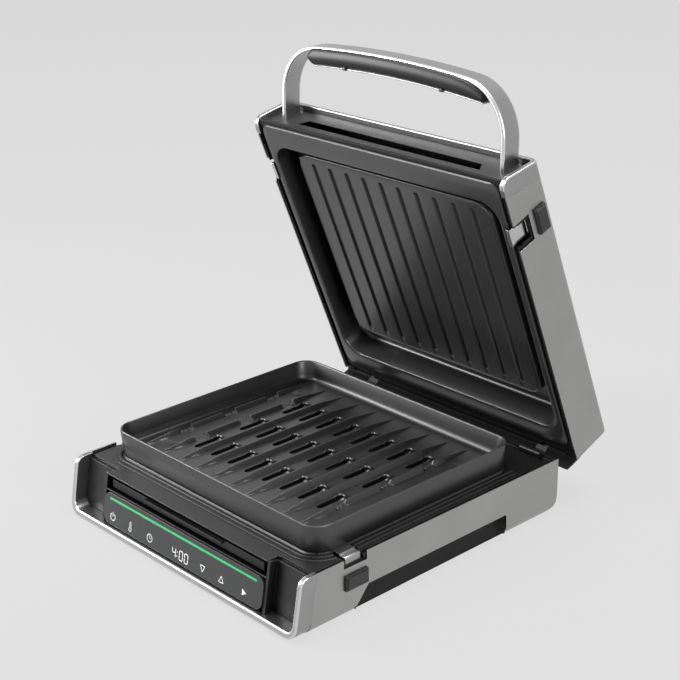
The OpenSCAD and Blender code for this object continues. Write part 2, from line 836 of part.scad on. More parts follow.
// Cast frame of the lid front: a bar on top and an arm on each side
module lid_trim() {
  r = lid_corner_r;
  color(chrome) on_lid() intersection() {
    along_y(front_y, 0) difference() {
      cap_shape(body_w, lid_z, lid_top, r);
      cap_shape(body_w - 2 * trim_t, lid_z - 1, lid_top - lid_bar, r - lid_bar);
    }
    across_x(body_w + 2) trim_side(lid_z, lid_top, lid_z);
  }
}

// Dark wall between the arms of the lid trim, with a long steam slot
module lid_fascia() {
  color(graphite) on_lid() difference() {
    intersection() {
      front_frame() difference() {
        box([-arm_half, lid_fascia_v, 0], [arm_half, lid_fascia_v + fascia_t, 200]);
        translate([0, lid_fascia_v - 1, lid_slot_z]) rotate([-90, 0, 0]) linear_extrude(8)
          polygon([[-lid_slot_half, -3.2], [lid_slot_half, -3.2],
                   [lid_slot_half - 7, 3.2], [7 - lid_slot_half, 3.2]]);
        for (x = [-1, 1]) translate([x * handle_screw_x, lid_fascia_v - 1, handle_screw_z])
          rotate([-90, 0, 0]) cylinder(r = screw_r + running, h = 8);
      }
      along_y(front_y, 0)
        cap_shape(2 * arm_half, lid_z + 9, lid_top - lid_bar - gap, lid_corner_r - lid_bar);
    }
  }
}

// Black moulded frame inside the lid: ledge round the upper plate, walls and latch ears
module lid_frame() {
  hole_w = well_w + 2 * (well_wall + gap);
  hole_d = well_d + 2 * (well_wall + gap);
  wall_in = inner_half - 2;
  color(black) on_lid() difference() {
    union() {
      box([-inner_half, front_y + 45, frame_low], [inner_half, frame_rear, frame_low + frame_t]);
      box([-arm_half, front_y + 14, frame_low], [arm_half, front_y + 46, frame_low + frame_t]);
      both_sides()
        box([wall_in, front_y + 45, lid_z + 1], [inner_half, frame_rear, reflector_z]);
      box([-inner_half, frame_rear - 2, lid_z + 1], [inner_half, frame_rear, reflector_z]);
      box([-inner_half, frame_rear - 0.1, lid_z + 1], [inner_half, lid_rear, lid_z + 11.5]);
      for (e = [-1, 1]) both_sides() translate([0, latch_y + e * latch_ear, 0]) difference() {
        box([upper_latch_x - 10, -1.2, upper_latch_z - 4], [inner_half - 1, 1.2, upper_latch_z + 5]);
        translate([upper_latch_x, -2, upper_latch_z]) rotate([-90, 0, 0])
          cylinder(r = latch_pin_r + running, h = 4);
      }
    }
    translate([0, well_y, 0]) linear_extrude(200) round_rect(hole_w, hole_d, 24);
    both_sides() {
      box([upper_latch_x - 6, latch_y - pocket_half, lid_z],
          [half_w, latch_y + pocket_half, frame_low + frame_t + 1]);
      box([inner_half - 3, latch_y - latch_l / 2 - 1, lid_z],
          [half_w, latch_y + latch_l / 2 + 1, upper_latch_z - 2]);
      box([upper_latch_x - 5, latch_y - 18, lid_button_z - button_h / 2 - 3],
          [half_w, latch_y + 18, lid_button_z + button_h / 2 + 3]);
      box([arm_x, rear_y - 17, lid_z - 1], [arm_x + 32, rear_y + 1, frame_low - 0.5]);
    }
  }
}

// Cast upper plate: brim, deep channel and the grooved pressing surface
module upper_plate() {
  press_r = 14;
  outer_w = well_w + 2 * well_wall;
  outer_d = well_d + 2 * well_wall;
  color(coating) on_lid() difference() {
    union() {
      translate([0, brim_y, lid_z]) linear_extrude(3) round_rect(brim_w, brim_d, 10);
      translate([0, well_y, lid_z]) linear_extrude(well_h + well_wall)
        round_rect(outer_w, outer_d, 24);
    }
    difference() {
      translate([0, well_y, lid_z - 1]) linear_extrude(well_h + 1) round_rect(well_w, well_d, 22);
      translate([0, press_y, press_z]) linear_extrude(well_h) round_rect(press_w, press_d, press_r);
    }
    translate([0, press_y, press_z + 4]) linear_extrude(well_h)
      round_rect(press_w - 2 * well_wall, press_d - 2 * well_wall, press_r - well_wall);
    for (i = [0 : groove_count - 1])
      translate([(i - (groove_count - 1) / 2) * groove_pitch, press_y, press_z])
        along_y(-press_d / 2 + groove_end, press_d / 2 - groove_end)
          polygon([[-3.2, -1], [-3.2, 0], [-1.4, 2.4], [1.4, 2.4], [3.2, 0], [3.2, -1]]);
  }
}

// Heating tube above the pressing surface
module upper_element() {
  color(steel_dark) on_lid() translate([0, 0, upper_tube_z])
    heating_tube(upper_runs[0], upper_runs[1], upper_tube_ys);
}

// Bright heat shield over the upper plate, with posts that hold the tube down
module upper_reflector() {
  post_z = upper_tube_z + tube_r;
  front_half = upper_latch_x - 8;
  step_y = latch_y + 34.5;
  color(chrome) on_lid() {
    box([-inner_half + gap, step_y, reflector_z], [inner_half - gap, well_rear, reflector_z + 1]);
    box([-front_half, well_front, reflector_z], [front_half, step_y + 1, reflector_z + 1]);
    for (s = [-1, 1], y = post_ys, x = upper_runs) translate([s * x, y, post_z])
      cylinder(r = post_r, h = reflector_z - post_z + 0.5);
  }
}

// ---- handle --------------------------------------------------------------

// Frame of the handle: X across, Y out along the handle, Z across the band
module handle_frame() {
  translate([0, handle_root_y, handle_root_z]) rotate([180 - handle_lean, 0, 0]) children();
}

// Arch outline of the handle, its legs running back past the root
module arch(w, h, r) {
  translate([-w / 2, -leg_run]) square([w, h - r + leg_run]);
  translate([-w / 2 + r, h - r - 1]) square([w - 2 * r, r + 1]);
  for (x = [-1, 1]) translate([x * (w / 2 - r), h - r]) circle(r, $fn = 96);
}

// Screws through the lid fascia into the handle's legs, widened by grow
module handle_screw_shanks(tip_v, grow) {
  front_frame() for (x = [-1, 1]) translate([x * handle_screw_x, tip_v, handle_screw_z])
    rotate([-90, 0, 0]) cylinder(r = screw_r + grow, h = lid_fascia_v + fascia_t + 1 - tip_v);
}

// Flat metal band bent into an arch
module handle_band() {
  color(steel) on_lid() difference() {
    intersection() {
      handle_frame() translate([0, 0, -band_w / 2]) linear_extrude(band_w) difference() {
        arch(handle_w, handle_h, handle_r);
        arch(handle_w - 2 * band_t, handle_h - band_t, handle_r - band_t);
      }
      ahead_of(lid_fascia_v);
    }
    handle_screw_shanks(-1, running);
  }
}

// Black grip under the cross part of the band
module handle_grip() {
  color(black) on_lid() handle_frame()
    translate([0, handle_h - band_t - grip_t / 2 - 0.02, 3 - band_w / 2])
      linear_extrude(band_w - 4) round_rect(2 * grip_half, grip_t, grip_t / 2 - 0.05);
}

// Two screws that hold the handle to the lid front
module handle_screws() {
  color(chrome) on_lid() {
    handle_screw_shanks(0, 0);
    front_frame() for (x = [-1, 1])
      translate([x * handle_screw_x, lid_fascia_v + fascia_t, handle_screw_z]) rotate([-90, 0, 0])
        cylinder(r = screw_head_r, h = 2.4);
  }
}

// ---- drawing -------------------------------------------------------------

placed() base_wrap();
placed() base_tub();
placed() front_trim();
placed() front_fascia();
placed() control_panel();
placed() light_bar();
placed() control_board();
placed() base_deck();
placed() drip_tray();
placed() lower_element();
placed() element_straps();
placed() lower_plate();
placed() sided(-1) side_grip();  // side_grip_left
placed() side_grip();  // side_grip_right
placed() rubber_feet();
placed() hinge_brackets();
placed() bracket_screws();
placed() hinge_pins();
placed() cord_gland();
placed() sided(-1) release_button(button_z, lower_latch_x);  // lower_button_left
placed() release_button(button_z, lower_latch_x);  // lower_button_right
placed() sided(-1) lower_latch();  // lower_latch_left
placed() lower_latch();  // lower_latch_right
placed() lid_cover();
placed() lid_trim();
placed() lid_fascia();
placed() lid_frame();
placed() lid_arms();
placed() upper_plate();
placed() upper_element();
placed() upper_reflector();
placed() handle_band();
placed() handle_grip();
placed() handle_screws();
placed() on_lid() sided(-1) release_button(lid_button_z, upper_latch_x);  // upper_button_left
placed() on_lid() release_button(lid_button_z, upper_latch_x);  // upper_button_right
placed() on_lid() sided(-1) upper_latch();  // upper_latch_left
placed() on_lid() upper_latch();  // upper_latch_right
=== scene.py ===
"""Looks of an electric contact grill with its lid open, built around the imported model.

Lengths in this file are millimetres until a mesh is made; X is the width, the front
faces -Y and Z is up. The lid's pieces are worked out with the lid shut and then swung.
"""

import math

import bmesh
import bpy
import numpy as np
from mathutils import Matrix


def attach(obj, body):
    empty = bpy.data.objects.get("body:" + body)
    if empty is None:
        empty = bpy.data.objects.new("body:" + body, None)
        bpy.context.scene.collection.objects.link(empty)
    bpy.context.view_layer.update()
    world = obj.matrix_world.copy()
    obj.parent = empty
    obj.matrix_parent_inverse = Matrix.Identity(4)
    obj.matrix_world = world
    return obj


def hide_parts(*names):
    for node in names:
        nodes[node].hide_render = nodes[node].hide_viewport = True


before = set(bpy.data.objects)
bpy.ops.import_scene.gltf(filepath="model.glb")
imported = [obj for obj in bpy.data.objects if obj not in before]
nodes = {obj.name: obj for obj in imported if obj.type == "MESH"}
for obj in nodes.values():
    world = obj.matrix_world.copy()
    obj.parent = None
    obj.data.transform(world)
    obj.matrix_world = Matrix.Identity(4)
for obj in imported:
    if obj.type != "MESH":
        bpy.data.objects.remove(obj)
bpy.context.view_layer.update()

# ---- studio --------------------------------------------------------------
# A pale seamless table under soft lamps. The table and the room behind it are a plain
# light grey to the camera and in reflections, and the table keeps the grill's shadow.
# ROOM_LIGHT is the light from all sides, and PLAIN_SHARE the part of the table's look
# that is plain grey.
PAPER = (0.73, 0.73, 0.73, 1)
ROOM_LIGHT = 0.20
PLAIN_SHARE = 0.93
TABLE_HALF = 9
scene = bpy.context.scene
scene.view_settings.view_transform = "Standard"


def worked_out(tree, operation, first, second):
    """Output of a Math node; each value is a number or the output of another node."""
    node = tree.nodes.new("ShaderNodeMath")
    node.operation = operation
    for socket, value in zip(node.inputs, (first, second)):
        if isinstance(value, float):
            socket.default_value = value
        else:
            tree.links.new(value, socket)
    return node.outputs[0]


def show_plain(tree, lit, plain, share, output):
    """Shows the shader plain, by a share, to camera, mirror and see-through rays, and the
    shader lit to the rest."""
    path = tree.nodes.new("ShaderNodeLightPath")
    seen = path.outputs["Is Camera Ray"]
    for name in ("Is Glossy Ray", "Is Transmission Ray"):
        seen = worked_out(tree, "MAXIMUM", seen, path.outputs[name])
    mix = tree.nodes.new("ShaderNodeMixShader")
    out = tree.nodes.new(output)
    tree.links.new(worked_out(tree, "MULTIPLY", seen, share), mix.inputs[0])
    tree.links.new(lit.outputs[0], mix.inputs[1])
    tree.links.new(plain.outputs[0], mix.inputs[2])
    tree.links.new(mix.outputs[0], out.inputs["Surface"])


world = bpy.data.worlds.new("room")
scene.world = world
world.use_nodes = True
tree = world.node_tree
tree.nodes.clear()
soft = tree.nodes.new("ShaderNodeBackground")
soft.inputs["Color"].default_value = (1, 1, 1, 1)
soft.inputs["Strength"].default_value = ROOM_LIGHT
plain = tree.nodes.new("ShaderNodeBackground")
plain.inputs["Color"].default_value = PAPER
show_plain(tree, soft, plain, 1.0, "ShaderNodeOutputWorld")

paper = bpy.data.materials.new("paper")
paper.use_nodes = True
tree = paper.node_tree
tree.nodes.clear()
matt = tree.nodes.new("ShaderNodeBsdfDiffuse")
matt.inputs["Color"].default_value = (0.80, 0.80, 0.80, 1)
even = tree.nodes.new("ShaderNodeEmission")
even.inputs["Color"].default_value = PAPER
show_plain(tree, matt, even, PLAIN_SHARE, "ShaderNodeOutputMaterial")

floor_mesh = bpy.data.meshes.new("table")
corners = [(x * TABLE_HALF, y * TABLE_HALF, 0) for x, y in ((-1, -1), (1, -1), (1, 1), (-1, 1))]
floor_mesh.from_pydata(corners, [], [(0, 1, 2, 3)])
floor_mesh.materials.append(paper)
floor = bpy.data.objects.new("table", floor_mesh)
scene.collection.objects.link(floor)


def soft_lamp(name, place, aim, size, power):
    """A square area lamp at place that faces the point aim."""
    data = bpy.data.lights.new(name, "AREA")
    data.size = size
    data.energy = power
    lamp = bpy.data.objects.new(name, data)
    away = np.array(place) - np.array(aim)
    away = away / np.linalg.norm(away)
    side = np.cross((0, 0, 1), away)
    side = side / np.linalg.norm(side)
    up = np.cross(away, side)
    turn = np.eye(4)
    turn[:3, 0], turn[:3, 1], turn[:3, 2], turn[:3, 3] = side, up, away, place
    lamp.matrix_world = Matrix(turn.tolist())
    scene.collection.objects.link(lamp)


# Each lamp has a place and a point it faces in metres, a size, and a power in watts.
soft_lamp("key_lamp", (-1.3, -1.5, 1.9), (0, 0, 0.12), 0.9, 32)
soft_lamp("side_lamp", (2.1, -0.3, 1.0), (0, 0, 0.2), 1.2, 22)
soft_lamp("top_lamp", (0.1, 0.4, 2.3), (0, 0, 0.1), 1.1, 34)
soft_lamp("low_lamp", (-0.95, -0.75, 0.45), (-0.1, 0.05, 0.3), 0.4, 10)

# The camera stands to the right of the front and looks down on the grill.
PLACE = (1.0758, -0.9971, 0.7632)
AZIMUTH, ELEVATION, ROLL = math.radians(47.1), math.radians(21.6), math.radians(-0.6)
SENSOR, LENS = 36, 82.8
back = np.array([math.sin(AZIMUTH) * math.cos(ELEVATION),
                 -math.cos(AZIMUTH) * math.cos(ELEVATION), math.sin(ELEVATION)])
right = np.array([math.cos(AZIMUTH), math.sin(AZIMUTH), 0])
up = np.cross(back, right)
view = np.eye(4)
view[:3, 0] = right * math.cos(ROLL) + up * math.sin(ROLL)
view[:3, 1] = up * math.cos(ROLL) - right * math.sin(ROLL)
view[:3, 2] = back
view[:3, 3] = PLACE
camera_data = bpy.data.cameras.new("camera")
camera_data.sensor_width = SENSOR
camera_data.lens = LENS
camera = bpy.data.objects.new("camera", camera_data)
camera.matrix_world = Matrix(view.tolist())
scene.collection.objects.link(camera)
scene.camera = camera

# ---- steel shell of the base ---------------------------------------------
# The bottom and both sides are one folded sheet of steel, brushed along its length and
# lacquered. It carries everything else and shows on the left and right of the grill.
# RELIEF is the depth of the grain in metres. Painted shade darkens the tone near walls, in creases
# and recesses, towards the near-black tone set below.
EDGE_STARTS, EDGE_FULL = 0.995, 0.86
RELIEF = 0.0002
COAT_ROUGH = 0.12
PAINTED_SHADE_POWER = 1.7
PAINTED_SHADE_TONE = 0.002


def edge_group():
    """Rounds the look of every edge and marks it: the mask grows with the angle between
    the true normal and the normal averaged over a small radius, from the cosine
    EDGE_STARTS to EDGE_FULL."""
    group = bpy.data.node_groups.new("soft_edge", "ShaderNodeTree")
    group.interface.new_socket("Radius", in_out="INPUT", socket_type="NodeSocketFloat")
    group.interface.new_socket("Normal", in_out="OUTPUT", socket_type="NodeSocketVector")
    group.interface.new_socket("Edge", in_out="OUTPUT", socket_type="NodeSocketFloat")
    given = group.nodes.new("NodeGroupInput")
    result = group.nodes.new("NodeGroupOutput")
    bevel = group.nodes.new("ShaderNodeBevel")
    bevel.samples = 4
    shape = group.nodes.new("ShaderNodeNewGeometry")
    dot = group.nodes.new("ShaderNodeVectorMath")
    dot.operation = "DOT_PRODUCT"
    mask = group.nodes.new("ShaderNodeMapRange")
    mask.inputs["From Min"].default_value = EDGE_STARTS
    mask.inputs["From Max"].default_value = EDGE_FULL
    link = group.links.new
    link(given.outputs["Radius"], bevel.inputs["Radius"])
    link(bevel.outputs[0], dot.inputs[0])
    link(shape.outputs["Normal"], dot.inputs[1])
    link(dot.outputs["Value"], mask.inputs["Value"])
    link(bevel.outputs[0], result.inputs["Normal"])
    link(mask.outputs[0], result.inputs["Edge"])
    return group


def grain_group():
    """Fine texture and broad mottling: noise stretched by the given scale along each
    axis, and a slow noise for smudges and uneven tone."""
    group = bpy.data.node_groups.new("surface_grain", "ShaderNodeTree")
    sockets = group.interface
    sockets.new_socket("Stretch", in_out="INPUT", socket_type="NodeSocketVector")
    sockets.new_socket("Detail", in_out="INPUT", socket_type="NodeSocketFloat")
    sockets.new_socket("Grain", in_out="OUTPUT", socket_type="NodeSocketFloat")
    sockets.new_socket("Mottle", in_out="OUTPUT", socket_type="NodeSocketFloat")
    given = group.nodes.new("NodeGroupInput")
    result = group.nodes.new("NodeGroupOutput")
    place = group.nodes.new("ShaderNodeTexCoord")
    scale = group.nodes.new("ShaderNodeVectorMath")
    scale.operation = "MULTIPLY"
    fine = group.nodes.new("ShaderNodeTexNoise")
    fine.inputs["Scale"].default_value = 1
    fine.inputs["Roughness"].default_value = 0.65
    slow = group.nodes.new("ShaderNodeTexNoise")
    slow.inputs["Scale"].default_value = 14
    slow.inputs["Detail"].default_value = 4
    link = group.links.new
    link(place.outputs["Object"], scale.inputs[0])
    link(given.outputs["Stretch"], scale.inputs[1])
    link(scale.outputs[0], fine.inputs["Vector"])
    link(given.outputs["Detail"], fine.inputs["Detail"])
    link(place.outputs["Object"], slow.inputs["Vector"])
    link(fine.outputs[0], result.inputs["Grain"])
    link(slow.outputs[0], result.inputs["Mottle"])
    return group


SOFT_EDGE = edge_group()
SURFACE_GRAIN = grain_group()


def between(tree, factor, low, high):
    """Output of a Map Range that takes factor 0..1 to low..high."""
    node = tree.nodes.new("ShaderNodeMapRange")
    node.inputs["To Min"].default_value = low
    node.inputs["To Max"].default_value = high
    tree.links.new(factor, node.inputs["Value"])
    return node.outputs[0]


def blend(tree, factor, first, second):
    """Mixes two colours; each is a grey, a colour or the output of another node."""
    node = tree.nodes.new("ShaderNodeMix")
    node.data_type = "RGBA"
    tree.links.new(factor, node.inputs[0])
    for socket, value in ((node.inputs[6], first), (node.inputs[7], second)):
        if isinstance(value, float):
            value = (value, value, value)
        if isinstance(value, tuple):
            socket.default_value = value + (1,)
        else:
            tree.links.new(value, socket)
    return node.outputs[2]


def finish_of(name, tones, rough, stretch, metal=0.0, bump=0.05, edge=None, radius=0.6,
              detail=3.0, coat=0.0, specular=0.5, mark=None, painted_shade_reach=0.0):
    """A surface of two tones mixed by slow mottling, with roughness and relief from its
    grain, soft edges, and a painted highlight on every edge in its own tone and roughness.
    Mark names a vertex attribute of polished bands that take the edge's finish too. The
    last argument is the reach in metres within which near walls paint shade into the tone
    and dim the reflections."""
    material = bpy.data.materials.new(name)
    material.use_nodes = True
    tree = material.node_tree
    link = tree.links.new
    surface = tree.nodes["Principled BSDF"]
    for socket, value in (("Metallic", metal), ("Coat Weight", coat),
                          ("Coat Roughness", COAT_ROUGH), ("Specular IOR Level", specular)):
        surface.inputs[socket].default_value = value
    grain = tree.nodes.new("ShaderNodeGroup")
    grain.node_tree = SURFACE_GRAIN
    grain.inputs["Stretch"].default_value = stretch
    grain.inputs["Detail"].default_value = detail
    corner = tree.nodes.new("ShaderNodeGroup")
    corner.node_tree = SOFT_EDGE
    corner.inputs["Radius"].default_value = radius * 0.001
    edge_highlight_and_polish = corner.outputs["Edge"]
    if mark:
        given = tree.nodes.new("ShaderNodeAttribute")
        given.attribute_name = mark
        edge_highlight_and_polish = worked_out(tree, "MAXIMUM", edge_highlight_and_polish, given.outputs["Fac"])
    colour = blend(tree, between(tree, grain.outputs["Mottle"], -0.6, 1.6), *tones)
    gloss = between(tree, grain.outputs["Grain"], *rough)
    # Painted highlight: every edge takes a lighter tone and its own roughness. The marked polished
    # bands take the same finish.
    if edge:
        colour = blend(tree, edge_highlight_and_polish, colour, edge[0])
        shine = tree.nodes.new("ShaderNodeMix")
        link(edge_highlight_and_polish, shine.inputs[0])
        link(gloss, shine.inputs[2])
        shine.inputs[3].default_value = edge[1]
        gloss = shine.outputs[0]
    # Painted shade: ambient occlusion darkens the colour towards a near-black tone and dims the
    # reflections near walls, in creases and recesses.
    if painted_shade_reach:
        shade = tree.nodes.new("ShaderNodeAmbientOcclusion")
        shade.samples = 8
        shade.inputs["Distance"].default_value = painted_shade_reach
        clear = worked_out(tree, "POWER", shade.outputs["AO"], PAINTED_SHADE_POWER)
        colour = blend(tree, clear, PAINTED_SHADE_TONE, colour)
        link(between(tree, clear, 0.08 * specular, specular),
             surface.inputs["Specular IOR Level"])
    relief = tree.nodes.new("ShaderNodeBump")
    relief.inputs["Strength"].default_value = bump
    relief.inputs["Distance"].default_value = RELIEF
    link(grain.outputs["Grain"], relief.inputs["Height"])
    link(corner.outputs["Normal"], relief.inputs["Normal"])
    link(colour, surface.inputs["Base Color"])
    link(gloss, surface.inputs["Roughness"])
    link(relief.outputs[0], surface.inputs["Normal"])
    return material


def dress(material, *names):
    """Gives CAD nodes a material in all their slots."""
    for name in names:
        for slot in nodes[name].material_slots:
            slot.material = material


STEEL_TONES = ((0.36, 0.36, 0.355), (0.41, 0.41, 0.405))
side_steel = finish_of("side_steel", STEEL_TONES, (0.30, 0.42), (900, 9, 900), metal=1.0,
                       bump=0.12, edge=((0.62, 0.62, 0.61), 0.18), radius=0.7)
dress(side_steel, "base_wrap")

# ---- tub, feet, gland and side grips -------------------------------------
# The inside of the base is one black moulding with a spark-eroded texture. Rubber feet
# plug into its bottom and a rubber grommet into its rear. A black lining in each side is
# a pocket for the fingers, with a sill along the bottom edge.

# The middle of the base lies at this Y of the frame, whose origin is under the open grill.
MODEL_SHIFT = -38.8886


def quads_between(rows, columns, start=0, around=True):
    """Faces that join each point of a grid to the next in its row and the next row; the
    columns close into rings when around is set."""
    row = np.arange(rows - 1)
    column = np.arange(columns if around else columns - 1)
    row, column = np.meshgrid(row, column, indexing="ij")
    beside = (column + 1) % columns
    quads = np.stack([row * columns + column, row * columns + beside,
                      (row + 1) * columns + beside, (row + 1) * columns + column], -1)
    return (quads.reshape(-1, 4) + start).tolist()


def lofted(rings):
    """Points and faces of a closed skin over rings of points, with flat ends."""
    rings = np.array(rings, float)
    count, size = rings.shape[:2]
    faces = quads_between(count, size)
    faces.append(list(range(size)))
    faces.append(list(range((count - 1) * size, count * size)))
    return rings.reshape(-1, 3), faces


def joined(parts):
    """Several point and face lists as one."""
    points, faces, start = [], [], 0
    for part_points, part_faces in parts:
        points.append(part_points)
        faces += [[index + start for index in face] for face in part_faces]
        start += len(part_points)
    return np.vstack(points), faces


def smooth_step(value):
    """0 below 0, 1 above 1 and 3t^2 - 2t^3 between."""
    value = np.clip(value, 0, 1)
    return value * value * (3 - 2 * value)


def add_piece(name, shape, material, body, replaced=(), bright=None, sharp=32):
    """Puts in a closed mesh drawn in millimetres about the middle of the base. Points
    that coincide are merged, faces are turned outward, and edges sharper than the angle
    sharp stay crisp."""
    points, faces = shape
    mesh = bpy.data.meshes.new(name)
    mesh.from_pydata(((points + (0, MODEL_SHIFT, 0)) * 0.001).tolist(), [], faces)
    if bright is not None:
        layer = mesh.attributes.new("bright", "FLOAT", "POINT")
        layer.data.foreach_set("value", np.array(bright, float))
    shell = bmesh.new()
    shell.from_mesh(mesh)
    bmesh.ops.remove_doubles(shell, verts=shell.verts, dist=1e-6)
    bmesh.ops.recalc_face_normals(shell, faces=shell.faces)
    shell.to_mesh(mesh)
    shell.free()
    mesh.shade_smooth()
    mesh.set_sharp_from_angle(angle=math.radians(sharp))
    mesh.materials.append(material)
    piece = bpy.data.objects.new(name, mesh)
    scene.collection.objects.link(piece)
    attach(piece, body)
    if replaced:
        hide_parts(*replaced)
    return piece


BLACK = (0.010, 0.016)
# The black moulding gets painted shade in its recesses and near walls.
moulded_black = finish_of("moulded_black", BLACK, (0.42, 0.62), (1500, 1500, 1500), bump=0.25,
                          edge=(0.035, 0.4), radius=0.5, specular=0.3, painted_shade_reach=0.02)
dress(moulded_black, "base_tub")

# Where the lining's face lies across the base, how high its sill is, and where along Y
# its pocket starts and ends in a slope.
LINING_FACE, LINING_SILL = 173.4, 5.3
LINING_FRONT, LINING_REAR, LINING_SLOPE = -103.4, 102.4, 3.0


def grip_lining(side):
    """Loft along Y of a section with a rounded sill, a pocket and a flat face. Above the
    sill its height follows the hollow's outline, and the pocket runs out in a slope at
    both ends."""
    sill = [(163 + 12 * math.sin(t), 14 - 12 * math.cos(t)) for t in np.linspace(0, 0.75, 7)]
    pocket = [(170.4, 5.8), (168.6, 8.0), (167.2, 12.0), (166.6, 18.0), (166.9, 22.0),
              (168.2, 24.2), (170.5, 25.0), (173.2, 25.2)]
    face = [(174.0, 25.7), (174.0, 26.8), (150.2, 26.8), (150.2, 2.0)]
    section = np.array(sill + pocket + face)
    depth = np.array([0] * len(sill) + [1] * len(pocket) + [0] * len(face))
    rings = []
    for y in np.r_[-103.5, -101, -98, -95, -92, -89, -86, -80, np.linspace(-70, 70, 8),
                   np.linspace(80, LINING_REAR - 0.1, 16)]:
        rise = np.interp(y, [-104, -101, -88.5, 94, 97, 99.5, 101.5, 102.4],
                         [0.10, 0.30, 1, 1, 0.97, 0.89, 0.74, 0.52])
        hollow = smooth_step(min(y - LINING_FRONT, LINING_REAR - y) / LINING_SLOPE)
        across = LINING_FACE - (LINING_FACE - section[:, 0]) * (1 - depth * (1 - hollow))
        lift = section[:, 1] - LINING_SILL
        height = np.where(lift > 0, LINING_SILL + lift * rise, section[:, 1])
        rings.append(np.stack([side * across, np.full(len(section), y), height], -1))
    return lofted(rings)


grip_black = finish_of("grip_black", (0.004, 0.007), (0.5, 0.65), (1500, 1500, 1500), bump=0.2,
                       specular=0.3)
for side, word in ((-1, "left"), (1, "right")):
    add_piece("grip_lining_" + word, grip_lining(side), grip_black, "base",
              ["side_grip_" + word])
rubber = finish_of("soft_rubber", (0.018, (0.028, 0.027, 0.026)), (0.7, 0.9), (700, 700, 700),
                   bump=0.3, edge=(0.03, 0.75), specular=0.3)
dress(rubber, "rubber_feet", "cord_gland")

# ---- trim round the base front -------------------------------------------
# One U-shaped casting frames the base front, a lip below and an arm on each side. Its
# faces are satin and its front edge is rounded and polished.
# The front leans back from the line FRONT on the table, and END_R rounds the arms' ends.
LEAN = math.radians(10)
FRONT = -181.0
TRIM_HALF, TRIM_DEEP, TRIM_THICK = 175.0, 18.5, 5.5
END_R = 9.0
END_SHARES = np.r_[np.linspace(0, 0.27, 12), 0.6, 1.0]
FLAT_MARGIN = 0.35

trim_metal = finish_of("trim_metal", (0.33, 0.39), (0.26, 0.36), (700, 20, 700), metal=1.0,
                       bump=0.06, edge=(0.70, 0.27), radius=0.6, mark="bright")


def arm_outline(half, end, turn, r):
    """X-Z outline from one arm's end round a quarter circle at height turn and back down
    the mirrored side."""
    way = 1 if turn > end else -1
    arm = [(-half, end + (turn - end) * share) for share in END_SHARES]
    bend = [(-half + r - r * math.cos(t), turn + way * r * math.sin(t))
            for t in np.linspace(0, math.pi / 2, 10)[1:]]
    near = np.array(arm + bend)
    return np.vstack([near, near[::-1] * (-1, 1)])


def trim_front(height, corner):
    """Front line of a trim: the leaning plane, and near the arm's end a circle."""
    plane = FRONT + height * math.tan(LEAN)
    centre = FRONT + (END_R + corner * math.sin(LEAN)) / math.cos(LEAN)
    rise = np.clip(height - corner, -END_R, END_R)
    circle = centre - np.sqrt(END_R ** 2 - rise ** 2)
    ahead = height - corner - END_R * math.sin(LEAN)
    return plane, circle, ahead


def trim_skin(end, outer, inner, r, between_edges):
    """Sweep of a section with two rounded, polished front edges between two outlines, each
    given by the height of its cross part and its corners' radius. Each point lies at a
    share of the way from the outer to the inner outline and at a depth. Between_edges is
    how polished the front is between its edges."""
    way = 1 if outer[0] > end else -1
    outer = arm_outline(TRIM_HALF, end, *outer)
    inner = arm_outline(TRIM_HALF - TRIM_THICK, end, *inner)
    arc = np.linspace(0, math.pi / 2, 6)
    flat = np.array([r + FLAT_MARGIN, TRIM_THICK - r - FLAT_MARGIN])
    share = np.r_[0, 0, r - r * np.cos(arc), flat, TRIM_THICK - r + r * np.sin(arc),
                  TRIM_THICK, TRIM_THICK] / TRIM_THICK
    depth = np.r_[TRIM_DEEP, r + 0.4, r - r * np.sin(arc), 0, 0, r - r * np.cos(arc), r + 0.4,
                  TRIM_DEEP]
    polish = np.r_[0, 0, np.ones(6), between_edges, between_edges, np.ones(6), 0, 0]
    corner = end + way * END_R
    place = outer[:, None] + (inner - outer)[:, None] * share[None, :, None]
    height = place[..., 1]
    plane, circle, ahead = trim_front(height, corner)
    front = np.where(ahead * way < 0, np.maximum(circle, plane), plane)
    rear = FRONT + height * math.tan(LEAN) + TRIM_DEEP / math.cos(LEAN)
    y = front + (rear - front) * depth / TRIM_DEEP
    bright = np.broadcast_to(polish, height.shape)
    return lofted(np.stack([place[..., 0], y, height], -1)), bright.ravel()


skin, polished = trim_skin(62, (16, 14), (17.5, 8.5), 1.5, 0.45)
add_piece("base_front_trim", skin, trim_metal, "base", ["front_trim"],
          polished, 50)

# ---- front wall, deck and tray -------------------------------------------
# The wall behind the panel and the deck round the plate are graphite mouldings with a
# satin skin. The fat tray is thin pressed steel under dark enamel.
GRAPHITE = ((0.009, 0.009, 0.0095), (0.014, 0.014, 0.0145))
# The graphite gets painted shade near walls and along its steps.
graphite = finish_of("satin_graphite", GRAPHITE, (0.30, 0.44), (1100, 1100, 1100), bump=0.18,
                     edge=((0.075, 0.075, 0.078), 0.28), radius=0.9, specular=0.5, painted_shade_reach=0.012)
dress(graphite, "front_fascia", "base_deck")
enamel = finish_of("dark_enamel", ((0.008, 0.008, 0.009), (0.014, 0.014, 0.015)), (0.24, 0.36),
                   (260, 260, 260), bump=0.06, edge=(0.03, 0.3), radius=0.5, specular=0.3)
dress(enamel, "drip_tray")

# Half sizes and corner radius of the lower plate's flange, and where the steps end.
FLANGE_HALF_W, FLANGE_HALF_D, FLANGE_R = 155.0, 135.0, 22.0
STEP_SIDE_ENDS = (-92, 128)
STEP_FRONT_END = -117


